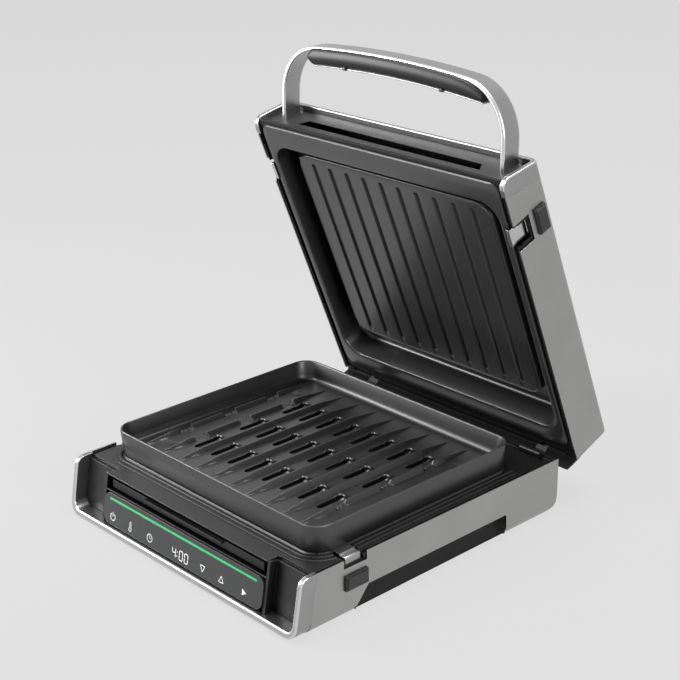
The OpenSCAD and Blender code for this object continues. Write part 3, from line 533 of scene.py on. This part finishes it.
def flange_front(offset):
    """Front of the lower plate's flange with its two corners, at the given distance
    outside it, from left to right."""
    w, d, r = FLANGE_HALF_W + offset, FLANGE_HALF_D + offset, FLANGE_R + offset
    arc = np.linspace(0, math.pi / 2, 14)
    path = [(x + r * math.cos(t), -d + r + r * math.sin(t))
            for x, turn in ((-w + r, math.pi), (w - r, 1.5 * math.pi)) for t in arc + turn]
    return np.array([point for point in path if point[1] < STEP_FRONT_END - 0.5])


def deck_steps():
    """Two low steps round the plate, swept in three lengths: a straight one on each side
    behind the catches, and one round the front that ends before them."""
    section = np.array([(0.5, 58.8), (0.5, 61.6), (1.1, 62.1), (3.8, 62.1), (4.4, 61.6),
                        (4.5, 61.0), (8.8, 61.0), (9.5, 60.5), (9.6, 59.4)])
    parts = []
    for side in (1, -1, 0):
        rings = []
        for offset, z in section:
            w = FLANGE_HALF_W + offset
            if side:
                path = [(side * w, end) for end in STEP_SIDE_ENDS]
            else:
                path = [(-w, STEP_FRONT_END), *flange_front(offset), (w, STEP_FRONT_END)]
            rings.append([(x, y, z) for x, y in path])
        parts.append(lofted(np.array(rings).swapaxes(0, 1)))
    return joined(parts)


add_piece("deck_step_ring", deck_steps(), graphite, "base")

# ---- touch panel ---------------------------------------------------------
# A dark glossy window with a green light bar along its top. Behind it sit the board, its
# display and the touch pads. Its signs and number are plain ones, lit from behind.
BAR_GLOW, MARK_GLOW = 0.45, 0.25
panel_gloss = finish_of("panel_gloss", ((0.024, 0.025, 0.026), (0.030, 0.031, 0.032)),
                        (0.16, 0.24), (160, 160, 160), bump=0.02, coat=0.4, edge=(0.12, 0.15),
                        radius=0.8)
dress(panel_gloss, "control_panel")
board = finish_of("lacquered_board", ((0.008, 0.060, 0.022), (0.014, 0.090, 0.034)), (0.2, 0.4),
                  (420, 420, 420), bump=0.1, coat=0.3)
dress(board, "control_board")

green_light = finish_of("green_light", ((0.02, 0.36, 0.11), (0.03, 0.42, 0.14)), (0.3, 0.4),
                        (300, 300, 300), bump=0.02)
tree = green_light.node_tree
surface = tree.nodes["Principled BSDF"]
tree.links.new(surface.inputs["Base Color"].links[0].from_socket,
               surface.inputs["Emission Color"])
surface.inputs["Emission Strength"].default_value = BAR_GLOW
dress(green_light, "light_bar")


def front_place(x, v, w):
    """Place of a point of the leaning front: depth v behind it and height w along it."""
    y = FRONT + v * math.cos(LEAN) + w * math.sin(LEAN)
    z = w * math.cos(LEAN) - v * math.sin(LEAN)
    return np.stack(np.broadcast_arrays(x, y, z), -1).astype(float)


def stroke(points, width):
    """Corners of a line of the given width: two points per corner of the path."""
    points = np.array(points, float)
    ways = np.gradient(points, axis=0)
    ways = ways / np.linalg.norm(ways, axis=1)[:, None]
    aside = np.stack([-ways[:, 1], ways[:, 0]], -1) * width / 2
    return np.vstack([points + aside, (points - aside)[::-1]])


def ring_of(x, y, r, start, stop):
    """Arc of a circle between two angles in degrees."""
    turn = np.radians(np.linspace(start, stop, 25))
    return np.stack([x + r * np.cos(turn), y + r * np.sin(turn)], -1)


PRINT_DEPTHS = (3.88, 3.99)


def printed(shapes):
    """Thin closed slabs that stand just proud of the panel, one for each outline. Front and
    back of a stroke are strips of quads."""
    parts = []
    for corners in shapes:
        count = len(corners)
        front, rear = (front_place(corners[:, 0], depth, corners[:, 1]) for depth in PRINT_DEPTHS)
        faces = quads_between(2, count)
        for start in (0, count):
            faces += [[start + k, start + k + 1, start + count - 2 - k, start + count - 1 - k]
                      for k in range(count // 2 - 1)]
        parts.append((np.vstack([front, rear]), faces))
    return joined(parts)


# The number 4:00 is drawn with strokes named top, foot and middle, and upper or lower
# with left or right.
STROKES = {"top": ((0.4, 9.5), (4.6, 9.5)), "middle": ((0.4, 4.75), (4.6, 4.75)),
           "foot": ((0.4, 0), (4.6, 0)),
           "upper left": ((0, 5.1), (0, 9.1)), "upper right": ((5, 5.1), (5, 9.1)),
           "lower left": ((0, 0.4), (0, 4.4)), "lower right": ((5, 0.4), (5, 4.4))}
FOUR = ("upper left", "upper right", "middle", "lower right")
ZERO = ("top", "upper left", "upper right", "lower left", "lower right", "foot")


def digit(names, x, y):
    """Strokes of a number 5 wide and 9.5 high with its lower left corner at x, y."""
    return [stroke([(x + a, y + b) for a, b in STROKES[name]], 1.0) for name in names]


# From left to right: a power sign, a thermometer, a clock, the number, two open
# triangles down and up, and a filled one.
MARK_Y = 20.5
POWER_X, THERMOMETER_X, CLOCK_X, COLON_X = -107.5, -78.0, -46.0, -1.8
DOWN_X, UP_X, PLAY_X = 37, 65, 95.5
marks = [stroke(ring_of(POWER_X, MARK_Y, 3.8, 120, 420), 0.9),
         stroke([(POWER_X, MARK_Y + 0.4), (POWER_X, MARK_Y + 5.2)], 0.9),
         stroke(ring_of(THERMOMETER_X, MARK_Y - 3.0, 1.9, 120, 420), 0.8),
         stroke([(THERMOMETER_X + a, MARK_Y + b)
                 for a, b in ((-0.9, -1.4), (-0.9, 4.2), (-0.4, 4.9), (0.4, 4.9), (0.9, 4.2),
                              (0.9, -1.4))], 0.7),
         stroke(ring_of(CLOCK_X, MARK_Y, 4.0, 0, 360), 0.8),
         stroke([(CLOCK_X, MARK_Y + 2.6), (CLOCK_X, MARK_Y), (CLOCK_X + 2.1, MARK_Y)], 0.7)]
for names, x in ((FOUR, -9.5), (ZERO, 1.5), (ZERO, 9.5)):
    marks += digit(names, x, MARK_Y - 4.7)
for y in (MARK_Y + 1.4, MARK_Y - 2.6):
    marks.append(stroke([(COLON_X, y), (COLON_X, y + 1.2)], 1.1))
for x, way in ((DOWN_X, -1), (UP_X, 1)):
    corners = [(x - 3.4, MARK_Y - way * 3), (x + 3.4, MARK_Y - way * 3), (x, MARK_Y + way * 3.4)]
    for n in range(3):
        marks.append(stroke([corners[n], corners[(n + 1) % 3]], 0.8))
marks.append(np.array([(PLAY_X, MARK_Y + 3.2), (PLAY_X + 6, MARK_Y), (PLAY_X + 6, MARK_Y),
                       (PLAY_X, MARK_Y - 3.2)]))
mark_white = finish_of("printed_white", (0.70, 0.78), (0.4, 0.5), (400, 400, 400), bump=0.02)
surface = mark_white.node_tree.nodes["Principled BSDF"]
surface.inputs["Emission Color"].default_value = (1, 1, 1, 1)
surface.inputs["Emission Strength"].default_value = MARK_GLOW
add_piece("panel_symbols", printed(marks), mark_white, "base")

# ---- heating tubes -------------------------------------------------------
# Mineral-filled steel tubes, browned by heat, held by bright straps under the lower
# plate and by a bright shield over the upper one.
tube_steel = finish_of("heated_steel", ((0.13, 0.115, 0.10), (0.20, 0.17, 0.14)), (0.38, 0.55),
                       (500, 500, 500), metal=1.0, bump=0.2)
dress(tube_steel, "lower_element", "upper_element")
bright_sheet = finish_of("bright_sheet", ((0.66, 0.66, 0.67), (0.74, 0.74, 0.75)), (0.2, 0.34),
                         (40, 700, 700), metal=1.0, bump=0.1, edge=(0.85, 0.15))
dress(bright_sheet, "element_straps", "upper_reflector")

# ---- cooking plates ------------------------------------------------------
# Both plates are die-cast aluminium under a dark, slightly sparkling non-stick coating.
# The lower one is a deep tray with ribs and drain slots. The upper one has a grooved
# pressing surface that stands up from a channel.
COATING = ((0.014, 0.014, 0.0145), (0.020, 0.020, 0.0205))
# The coating gets painted shade between the ribs, in the slots and near the walls.
coated = finish_of("nonstick_coating", COATING, (0.24, 0.38), (1300, 1300, 1300), bump=0.22,
                   edge=(0.13, 0.22), radius=0.7, detail=6.0, specular=0.95, painted_shade_reach=0.022)
# The underside and the slot walls take a darker, duller coating: painted shade that makes the
# slots look like dark holes.
slot_shade_coating = finish_of("plate_underside_painted_shade", (0.004, 0.007), (0.5, 0.7), (900, 900, 900),
                           bump=0.2, specular=0.2)
OPENING = math.radians(67.8)
HINGE_Y, HINGE_Z = 186.0, 33.0


def opened(points):
    """Swings points of the lid, drawn shut, about the hinge."""
    turned = np.array(points, float)
    y, z = turned[..., 1] - HINGE_Y, turned[..., 2] - HINGE_Z
    turned[..., 1] = HINGE_Y + y * math.cos(OPENING) + z * math.sin(OPENING)
    turned[..., 2] = HINGE_Z - y * math.sin(OPENING) + z * math.cos(OPENING)
    return turned


def plate_ring(half_w, half_d, r, z, across, along, middle=0.0):
    """Level rectangle with round corners. Its sides carry points at the given shares,
    so that a ring with r = 0 is the border of the grid with the same shares."""
    w, d = half_w - r, half_d - r
    fan = np.linspace(0, math.pi / 2, 10)[1:-1]
    straight = ((across * w, -half_d), (half_w, along * d), (across[::-1] * w, half_d),
                (-half_w, along[::-1] * d))
    corners = ((w, -d), (w, d), (-w, d), (-w, -d))
    sides = []
    for number, (points, (x, y)) in enumerate(zip(straight, corners)):
        sides.append(np.stack(np.broadcast_arrays(*points), -1))
        turn = fan + (number - 1) * math.pi / 2
        sides.append(np.stack([x + r * np.cos(turn), y + r * np.sin(turn)], -1))
    flat = np.vstack(sides) + (0, middle)
    return np.column_stack([flat, np.full(len(flat), z)])


def shares_of(values, half):
    """Sorted places between -half and half, with both ends, as shares of half."""
    values = np.round(np.array(values), 4)
    inside = values[np.abs(values) < half - 0.4]
    return np.unique(np.r_[-half, inside, half]) / half


def around(places, offsets):
    """Every place moved to both sides by every offset."""
    return [place + way * offset for place in places for way in (-1, 1) for offset in offsets]


def nearest(values, places):
    """For each value, the one of the places that lies nearest."""
    places = np.array(places)
    return places[np.argmin(np.abs(values[..., None] - places), -1)]


# Eight slots in each of three rows, and eleven ribs between and beside them.
SLOT_PITCH, SLOT_HALF, SLOT_REACH = 26.6, 3.5, 17.0
SLOTS = [(k - 3.5) * SLOT_PITCH for k in range(8)]
SLOT_ROWS = [-60.0, 0.0, 60.0]
RIBS = [(k - 5) * SLOT_PITCH for k in range(11)]
RIB_HIGH, RIB_END, RIB_FADE, RIB_CREST = 4.5, 120, 42, 0.75
KNOB_HIGH, RIM_HIGH = 1.8, 1.8


def rib_height(x, y, dy):
    """Height of the ribs above the floor, at a distance dy from a row's middle. They fade
    out towards the front and rear. The outer two on each side have a gap at each row of
    slots, where two knobs stand."""
    fade = np.clip((RIB_END - np.abs(y)) / RIB_FADE, 0, 1)
    foot = 1.0 + 3.4 * fade
    height = np.zeros_like(x)
    for number, centre in enumerate(RIBS):
        ridge = np.clip((foot - np.abs(x - centre)) / (foot - RIB_CREST), 0, 1)
        ridge = RIB_HIGH * fade ** 0.8 * ridge
        if min(number, len(RIBS) - 1 - number) < 2:
            ridge = ridge * smooth_step((np.abs(dy) - 6.4) / 2.2)
            for step in (-3.2, 1.6):
                knob = np.hypot(x - centre, dy - step)
                ridge = ridge + KNOB_HIGH * np.exp(-(knob / 1.3) ** 2)
        height = height + ridge
    return height


def lower_plate_skin():
    """Grid for the cooking floor with ribs as smooth ridges, slots left out and lined,
    the same grid flat below it, and rings for the round wall and flange round both.
    Grid lines past a slot's straight part bend into its half-round ends, and a low round
    rim stands behind each slot. A ring is a half width, a half depth, a corner radius and
    a height."""
    half_w, half_d, top, under = 141.0, 121.0, 70.0, 67.0
    xs = around(SLOTS, (0, 1.2, 2.4, 3.5, 4.5, 5.6, 6.8, 8.2))
    xs += around(RIBS, (RIB_CREST, 1.7, 2.9, 4.4))
    ys = around(SLOT_ROWS, (0, 1.6, 3.2, 5, 7, 8.6, 10.5, 12.5, 14.5, 16, 17, 18, 19, 20.2, 22,
                            24))
    ys += around([0], (88, 92, 96, 100, 104, 108, 111, 113, 115, 118))
    across, along = shares_of(xs, half_w), shares_of(ys, half_d)
    flat_x, flat_y = across * half_w, along * half_d
    x, y = np.meshgrid(flat_x, flat_y)
    wide, base = len(across), x.size
    slot_x, row_y = nearest(x, SLOTS), nearest(y, SLOT_ROWS)
    dx, dy = np.abs(x - slot_x), y - row_y
    near_slot = np.abs(x) < SLOTS[-1] + 10
    curve = np.where(dx < SLOT_HALF, np.sqrt(np.maximum(SLOT_HALF ** 2 - dx ** 2, 0)),
                     SLOT_HALF * smooth_step((dx - SLOT_HALF) / 4))
    pull = np.interp(np.abs(dy), [10.5, SLOT_REACH, 24], [0, 1, 0]) * (SLOT_HALF - curve)
    y = y - np.sign(dy) * pull * near_slot
    dy = y - row_y
    rim = np.abs(np.hypot(x - slot_x, dy - 13.5) - 5.0)
    rim = RIM_HIGH * np.exp(-(rim / 1.15) ** 2) * smooth_step((dy - 8) / 4) * near_slot
    z = top + rib_height(x, y, dy) + rim
    upper = np.stack([x, y, z], -1).reshape(-1, 3)
    lower = np.stack([x, y, np.full_like(x, under)], -1).reshape(-1, 3)
    mid_x = (flat_x[1:] + flat_x[:-1]) / 2
    mid_y = (flat_y[1:] + flat_y[:-1]) / 2
    open_x = np.abs(mid_x - nearest(mid_x, SLOTS)) < SLOT_HALF
    open_y = np.abs(mid_y - nearest(mid_y, SLOT_ROWS)) < SLOT_REACH
    hole = open_y[:, None] & open_x[None, :]
    faces = []
    for (j, i), is_open in np.ndenumerate(hole):
        corner = j * wide + i
        loop = [corner, corner + 1, corner + wide + 1, corner + wide]
        if not is_open:
            faces += [loop, [index + base for index in loop]]
            continue
        for n, (dj, di) in enumerate(((-1, 0), (0, 1), (1, 0), (0, -1))):
            if not hole[j + dj, i + di]:
                a, b = loop[n], loop[(n + 1) % 4]
                faces.append([a, b, b + base, a + base])
    levels = [(141, 121, 0, 70), (144.6, 124.6, 11, 70), (146.6, 126.6, 13, 70.4),
              (148.3, 128.3, 15, 71.6), (149.4, 129.4, 16.4, 73.6), (150.2, 130.2, 17, 77),
              (152.6, 132.2, 17, 89.2), (153.1, 132.7, 17.4, 90.4), (154.0, 133.6, 18.4, 91),
              (154.9, 134.5, 19.6, 90.4), (155.3, 134.9, 20, 89.2), (153.2, 133.1, 20, 63.6),
              (153.3, 133.2, 20.2, 62.5), (153.9, 133.9, 20.9, 61.7), (154.6, 134.6, 21.6, 61.3),
              (155, 135, 22, 60.6), (155, 135, 22, 58.6), (150, 130, 17, 58.6),
              (150, 130, 17, 65), (148, 128, 15, 67), (141, 121, 0, 67)]
    rings = np.array([plate_ring(*level, across, along) for level in levels])
    faces += quads_between(len(levels), rings.shape[1], 2 * base)
    return np.vstack([upper, lower, rings.reshape(-1, 3)]), faces


plate = add_piece("lower_cooking_plate", lower_plate_skin(), coated, "base",
                  ["lower_plate"])
# Faces nearer than this to the middle, in each direction, are the underside and slots. They get
# painted shade: a darker, duller coating.
UNDERSIDE = (148.0, 128.0, 69.6)
plate.data.materials.append(slot_shade_coating)
for face in plate.data.polygons:
    place = np.array(face.center) * 1000 - (0, MODEL_SHIFT, 0)
    if (np.abs(place) < UNDERSIDE).all():
        face.material_index = 1

# Ten grooves lie side by side and run along Y between the same ends.
GROOVES = [(k - 4.5) * 25.0 for k in range(10)]
GROOVE_ENDS = (-114.0, 103.5)
GROOVE_DEEP, GROOVE_HALF, GROOVE_SIDE = 2.4, 3.5, 1.7


def upper_plate_skin():
    """Grid for the pressing surface with round-ended grooves, and rings from it down to
    the channel, up to the brim, round the back and into the hollow behind the surface.
    Press, well and brim are the middles of the surface, the channel and the brim along Y."""
    half_w, half_d, level = 133.0, 116.75, 75.0
    press, well, brim = -5.25, 4.0, 2.5
    xs = around(GROOVES, (0, 1, 1.6, 2.2, 2.8, 3.4, 4.2, 8))
    ys = [end - press + offset for end in GROOVE_ENDS
          for offset in (-6, -4.4, -3.4, -2.8, -2.2, -1.6, -0.8, 0, 1, 2.4, 5)]
    ys += list(np.linspace(-90, 90, 11))
    across, along = shares_of(xs, half_w), shares_of(ys, half_d)
    x, y = np.meshgrid(across * half_w, along * half_d + press)
    z = np.full_like(x, level)
    past = np.maximum(np.maximum(GROOVE_ENDS[0] - y, y - GROOVE_ENDS[1]), 0)
    for centre in GROOVES:
        inside = GROOVE_HALF - np.hypot(x - centre, past)
        z = z + GROOVE_DEEP * smooth_step(inside / GROOVE_SIDE)
    top = np.stack([x, y, z], -1).reshape(-1, 3)
    faces = quads_between(len(along), len(across), 0, False)
    levels = [(133, 116.75, 0, 75, press), (134.8, 118.5, 17, 75.1, press),
              (136.6, 120.3, 18, 75.7, press), (137.7, 121.4, 19, 77.1, press),
              (138, 121.75, 19.5, 79.4, press), (138.5, 122.2, 20, 90, press),
              (139.8, 123.5, 21, 93.6, press), (142.5, 126.2, 23, 95, press),
              (152, 137, 17, 95, well), (154.2, 139.2, 19.2, 94.4, well),
              (156.2, 141.2, 21.2, 92.6, well), (157, 142, 22, 90, well), (157, 142, 22, 67, well),
              (157.7, 142.7, 22.7, 65, well), (159.4, 144.4, 24, 64.1, well),
              (161, 146, 25, 64, well), (163.6, 156, 16, 64.1, brim), (165.0, 161, 12, 64.6, brim),
              (165.8, 164.4, 10, 65.6, brim), (166, 165.5, 10, 67, brim),
              (159.5, 144.5, 24, 67, well), (159.5, 144.5, 24, 97.5, well),
              (135.5, 119.25, 11.5, 97.5, press), (135.5, 119.25, 11.5, 79.6, press),
              (133, 116.75, 9, 79, press)]
    rings = np.array([plate_ring(w, d, r, h, across, along, mid)
                      for w, d, r, h, mid in levels])
    start, size = len(top), rings.shape[1]
    faces += quads_between(len(levels), size, start)
    last = start + (len(levels) - 1) * size
    faces.append(list(range(last, last + size)))
    return opened(np.vstack([top, rings.reshape(-1, 3)])), faces


add_piece("upper_cooking_plate", upper_plate_skin(), coated, "lid",
          ["upper_plate"])

# ---- hinge ---------------------------------------------------------------
# Black painted steel brackets stand on the base's rear wall and carry the lid's arms on
# zinc-plated steel pins. The screws are plated too.
black_paint = finish_of("black_paint", (0.012, 0.020), (0.3, 0.45), (600, 600, 600), bump=0.1,
                        edge=(0.07, 0.3))
dress(black_paint, "hinge_brackets", "lid_arms")
plated = finish_of("plated_steel", ((0.55, 0.55, 0.56), (0.63, 0.63, 0.64)), (0.14, 0.26),
                   (700, 700, 60), metal=1.0, bump=0.05, edge=(0.85, 0.1), radius=0.4)
dress(plated, "hinge_pins", "bracket_screws", "handle_screws", "lower_latch_left",
      "lower_latch_right", "upper_latch_left", "upper_latch_right")


# ---- catches and release buttons -----------------------------------------
# A plated steel catch on each side hooks over the plate's flange and ends in a folded
# block. A glossy black moulded button beside it draws it back.
CATCH_MIDDLE, CATCH_HALF = -104.5, 9.4
BAR_CAP = 0.6


def capped_bar(section, low, high, share):
    """Rings of a bar from low to high along its first axis. Over BAR_CAP at each end it
    shrinks to a share of its section."""
    middle = section.mean(0)
    rings = []
    for place, size in ((low, share), (low + BAR_CAP, 1), (high - BAR_CAP, 1), (high, share)):
        shape = middle + (section - middle) * size
        rings.append(np.column_stack([np.full(len(shape), place), shape]))
    return np.array(rings)


def catch_cap(side):
    """Folded end of a catch: a bar along Y with a rounded outer edge."""
    x0, x1, z0, z1, r = 164.0, 171.4, 53.5, 61.9, 2.2
    edge = [(x1 - r + r * math.sin(t), z1 - r + r * math.cos(t))
            for t in np.linspace(0, math.pi / 2, 6)]
    section = np.array([(x0, z0), (x0, z1), *edge, (x1, z0)])
    bar = capped_bar(section, CATCH_MIDDLE - CATCH_HALF, CATCH_MIDDLE + CATCH_HALF, 0.928)
    return lofted(bar[..., [1, 0, 2]] * (side, 1, 1))


for side, word in ((-1, "left"), (1, "right")):
    add_piece("lower_catch_" + word, catch_cap(side), side_steel, "lower_latch_" + word)
button_gloss = finish_of("button_gloss", (0.014, 0.020), (0.28, 0.38), (900, 900, 900), bump=0.1,
                         edge=(0.06, 0.25), radius=1.0)
dress(button_gloss, "lower_button_left", "lower_button_right", "upper_button_left",
      "upper_button_right")

# ---- lid -----------------------------------------------------------------
# A brushed steel cover is folded round a black moulded frame that holds the plate. A
# graphite wall with a steam slot closes the front behind an inverted U-shaped casting.
dress(side_steel, "lid_cover")
lid_graphite = finish_of("lid_graphite", ((0.036, 0.036, 0.037), (0.048, 0.048, 0.049)),
                         (0.34, 0.46), (1100, 1100, 1100), bump=0.18, edge=(0.10, 0.28),
                         radius=0.9)


def slotted_wall():
    """Quads between the wall's outline and the steam slot, front and back. The slot has a
    thin lip, from where the back slopes to the outline."""
    front, lip, back = 7.0, 8.0, 10.0
    outer = np.array([(-169, 75.4), (169, 75.4), (169, 111.4), (165.4, 115), (-165.4, 115),
                      (-169, 111.4)])
    slot = np.array([(-128, 86.4), (128, 86.4), (124, 93), (121, 98.2), (-121, 98.2),
                     (-124, 93)])
    turns = ((outer, front), (slot, front), (slot, lip), (outer, back), (outer, front))
    rings = np.array([opened(front_place(loop[:, 0], depth, loop[:, 1]))
                      for loop, depth in turns])
    return rings.reshape(-1, 3), quads_between(*rings.shape[:2])


add_piece("lid_slotted_wall", slotted_wall(), lid_graphite, "lid",
          ["lid_fascia"])
dress(moulded_black, "lid_frame")
skin, polished = trim_skin(64, (108.5, 8), (108.5, 4), 1.1, 0.0)
add_piece("lid_front_trim", (opened(skin[0]), skin[1]), trim_metal, "lid",
          ["lid_trim"], polished, 50)


def rear_skirt():
    """Three lengths of one section behind the hinge side of the base, with room for the
    two arms between them."""
    section = np.array([(179.7, 75.4), (179.7, 66.0), (181.9, 64.6), (181.9, 50.2),
                        (182.4, 49.6), (183.4, 49.6), (183.9, 50.4), (184.4, 60.0),
                        (184.4, 72.4), (183.6, 74.8), (182.2, 75.6)])
    spans = ((-171.6, -134.6), (-119.4, 119.4), (134.6, 171.6))
    return joined([lofted(opened(capped_bar(section, low, high, 0.9))) for low, high in spans])


add_piece("lid_rear_skirt", rear_skirt(), moulded_black, "lid")

# ---- handle --------------------------------------------------------------
# A flat metal band is bent into an arch, satin with polished round edges, and screwed to
# the lid's front wall. A black moulded grip sits under its cross part and laps over its
# front edge. A thin metal strip closes the grip from below, between two small clips.
# Its foot stands at the root, where the handle's own plane is turned from the lid's.
HANDLE_HALF, HANDLE_HIGH, HANDLE_R, HANDLE_BOW = 155.0, 86.0, 55.0, 1300.0
BAND_W, BAND_T, BAND_EDGE_R = 23.0, 5.0, 1.9
ROOT_Y, ROOT_Z, HANDLE_TURN = -156.0, 97.2, math.radians(157)
FOOT_HIGH, FOOT_SLOPE = 0.7606, math.tan(math.radians(13))


def handle_place(x, out, side):
    """Place of a point of the handle: across the lid, out along the handle, and towards
    the viewer across the band."""
    y = ROOT_Y + out * math.cos(HANDLE_TURN) - side * math.sin(HANDLE_TURN)
    z = ROOT_Z + out * math.sin(HANDLE_TURN) + side * math.cos(HANDLE_TURN)
    return opened(np.stack([x, y, z], -1))


def handle_path():
    """Outer line of the arch from foot to foot with its outward directions: a leg, a
    corner arc, a flat bow with a large radius, and the same mirrored."""
    reach = HANDLE_HALF - HANDLE_R
    bow_y = HANDLE_HIGH - HANDLE_BOW
    corner_y = bow_y + math.sqrt((HANDLE_BOW - HANDLE_R) ** 2 - reach ** 2)
    meet = math.atan2(corner_y - bow_y, reach)
    leg = np.linspace(2, corner_y, 6)[:-1]
    turn = np.linspace(0, meet, 22)
    bow = np.linspace(meet, math.pi / 2, 30)[1:]
    x = np.r_[np.full(len(leg), HANDLE_HALF), reach + HANDLE_R * np.cos(turn),
              HANDLE_BOW * np.cos(bow)]
    y = np.r_[leg, corner_y + HANDLE_R * np.sin(turn), bow_y + HANDLE_BOW * np.sin(bow)]
    away = np.r_[np.zeros(len(leg)), turn, bow]
    line = np.stack([x, y], -1)
    out = np.stack([np.cos(away), np.sin(away)], -1)
    mirror = np.array([-1, 1])
    return np.vstack([line * mirror, line[-2::-1]]), np.vstack([out * mirror, out[-2::-1]])


ARCH, ARCH_OUT = handle_path()


def handle_arch():
    """Sweep of a flat section with round front and rear edges along the arch, with feet
    cut to the slope of the lid's front wall, and how polished each point is."""
    arc = np.linspace(0, math.pi / 2, 6)
    r = BAND_EDGE_R
    inward = np.r_[0, r - r * np.cos(arc), BAND_T - r + r * np.sin(arc), BAND_T]
    side = np.r_[-0.5, r * np.sin(arc), r * np.cos(arc), -0.5] + BAND_W / 2 - r
    inward, side = np.r_[inward, inward[::-1]], np.r_[side, -side[::-1]]
    place = ARCH[:, None] - ARCH_OUT[:, None] * inward[None, :, None]
    x, y = place[..., 0], place[..., 1].copy()
    y[[0, -1]] = FOOT_HIGH - FOOT_SLOPE * side
    side = np.broadcast_to(side, x.shape)
    polish = np.abs(side) > BAND_W / 2 - r - 0.1
    return lofted(handle_place(x, y, side)), polish.ravel()


skin, polished = handle_arch()
add_piece("handle_arch", skin, trim_metal, "lid", ["handle_band"], polished, 60)

GRIP_LEFT, GRIP_RIGHT, GRIP_HIGH, GRIP_ROUND = -112.0, 127.0, 19.2, 9.0


def arch_height(x, inward):
    """Height of the arch at x on a line that lies inward of its outer face. The ends of
    the line, where the legs stand upright, are left out."""
    places = (ARCH - ARCH_OUT * inward)[8:-8]
    return np.interp(x, places[:, 0], places[:, 1])


def grip_bottom(x):
    """Height of the grip's bottom, which runs parallel to the bow of the arch."""
    return HANDLE_HIGH - HANDLE_BOW + math.sqrt(HANDLE_BOW ** 2 - x * x) - GRIP_HIGH


def grip_shell():
    """Columns across the grip. Its top follows the band and its bottom the bow, so it
    runs out where the band turns down. The front bulges over the band's edge, the part
    behind that edge stays under the band, and the left end is round."""
    section = np.array([(0.0, 11.6), (0.04, 12.2), (0.14, 12.9), (0.3, 13.4), (0.5, 13.6),
                        (0.7, 13.3), (0.87, 12.5), (0.96, 11.4), (1.0, 9.8), (1.0, -9.6),
                        (0.96, -11.0), (0.9, -11.4), (0.0, -11.4), (0.0, 11.55)])
    behind = np.arange(len(section)) >= len(section) - 2
    rings = []
    for x in np.r_[GRIP_LEFT + GRIP_ROUND * (1 - np.cos(np.linspace(0, math.pi / 2, 9))),
                   np.linspace(-98, 90, 40), np.linspace(94, GRIP_RIGHT, 18)]:
        low = grip_bottom(x)
        top = arch_height(x, np.interp(x, [92, GRIP_RIGHT], [BAND_EDGE_R, BAND_T + 0.05]))
        under = max(arch_height(x, BAND_T + 0.1), low + 0.2)
        short = max(1 - (x - GRIP_LEFT) / GRIP_ROUND, 0)
        half = (top - low) / 2 * math.sqrt(max(1 - short ** 2, 0.002))
        top, low = (top + low) / 2 + half, (top + low) / 2 - half
        height = np.where(behind, min(under, top), top + (low - top) * section[:, 0])
        rings.append(handle_place(np.full(len(section), x), height, section[:, 1]))
    return lofted(rings)


grip_skin = finish_of("grip_skin", (0.004, 0.007), (0.30, 0.38), (1200, 1200, 1200), bump=0.10,
                      edge=(0.012, 0.35), radius=0.8, specular=0.3)
add_piece("handle_grip_shell", grip_shell(), grip_skin, "lid",
          ["handle_grip"], sharp=50)

CLIPS = (-58.5, 74.5)
CLIP_GAP, CLIP_HALF = 3.0, 2.6


def grip_strip():
    """Thin strip along the bottom of the grip in three lengths, with gaps where its clips
    sit."""
    section = np.array([(0.05, -9.0), (0.05, 10.6), (0.8, 11.2), (1.5, 10.6), (1.5, -9.0)])
    parts = []
    for low, high in ((-104, CLIPS[0] - CLIP_GAP), (CLIPS[0] + CLIP_GAP, CLIPS[1] - CLIP_GAP),
                      (CLIPS[1] + CLIP_GAP, GRIP_RIGHT)):
        rings = [handle_place(np.full(len(section), x), grip_bottom(x) - section[:, 0],
                              section[:, 1]) for x in np.linspace(low, high, 24)]
        parts.append(lofted(rings))
    return joined(parts)


add_piece("handle_grip_strip", grip_strip(), side_steel, "lid")


def grip_clips():
    """Two small rounded hooks that stick out under the grip through gaps in the strip."""
    section = np.array([(-1.5, -5), (-1.5, 12.6), (1.0, 12.9), (2.0, 11.9), (2.3, 9.5),
                        (2.3, -5)])
    parts = []
    for middle in CLIPS:
        bar = capped_bar(section, middle - CLIP_HALF, middle + CLIP_HALF, 0.9)
        parts.append(lofted(handle_place(bar[..., 0], grip_bottom(middle) - bar[..., 1],
                                         bar[..., 2])))
    return joined(parts)


add_piece("handle_grip_clips", grip_clips(), grip_skin, "lid")
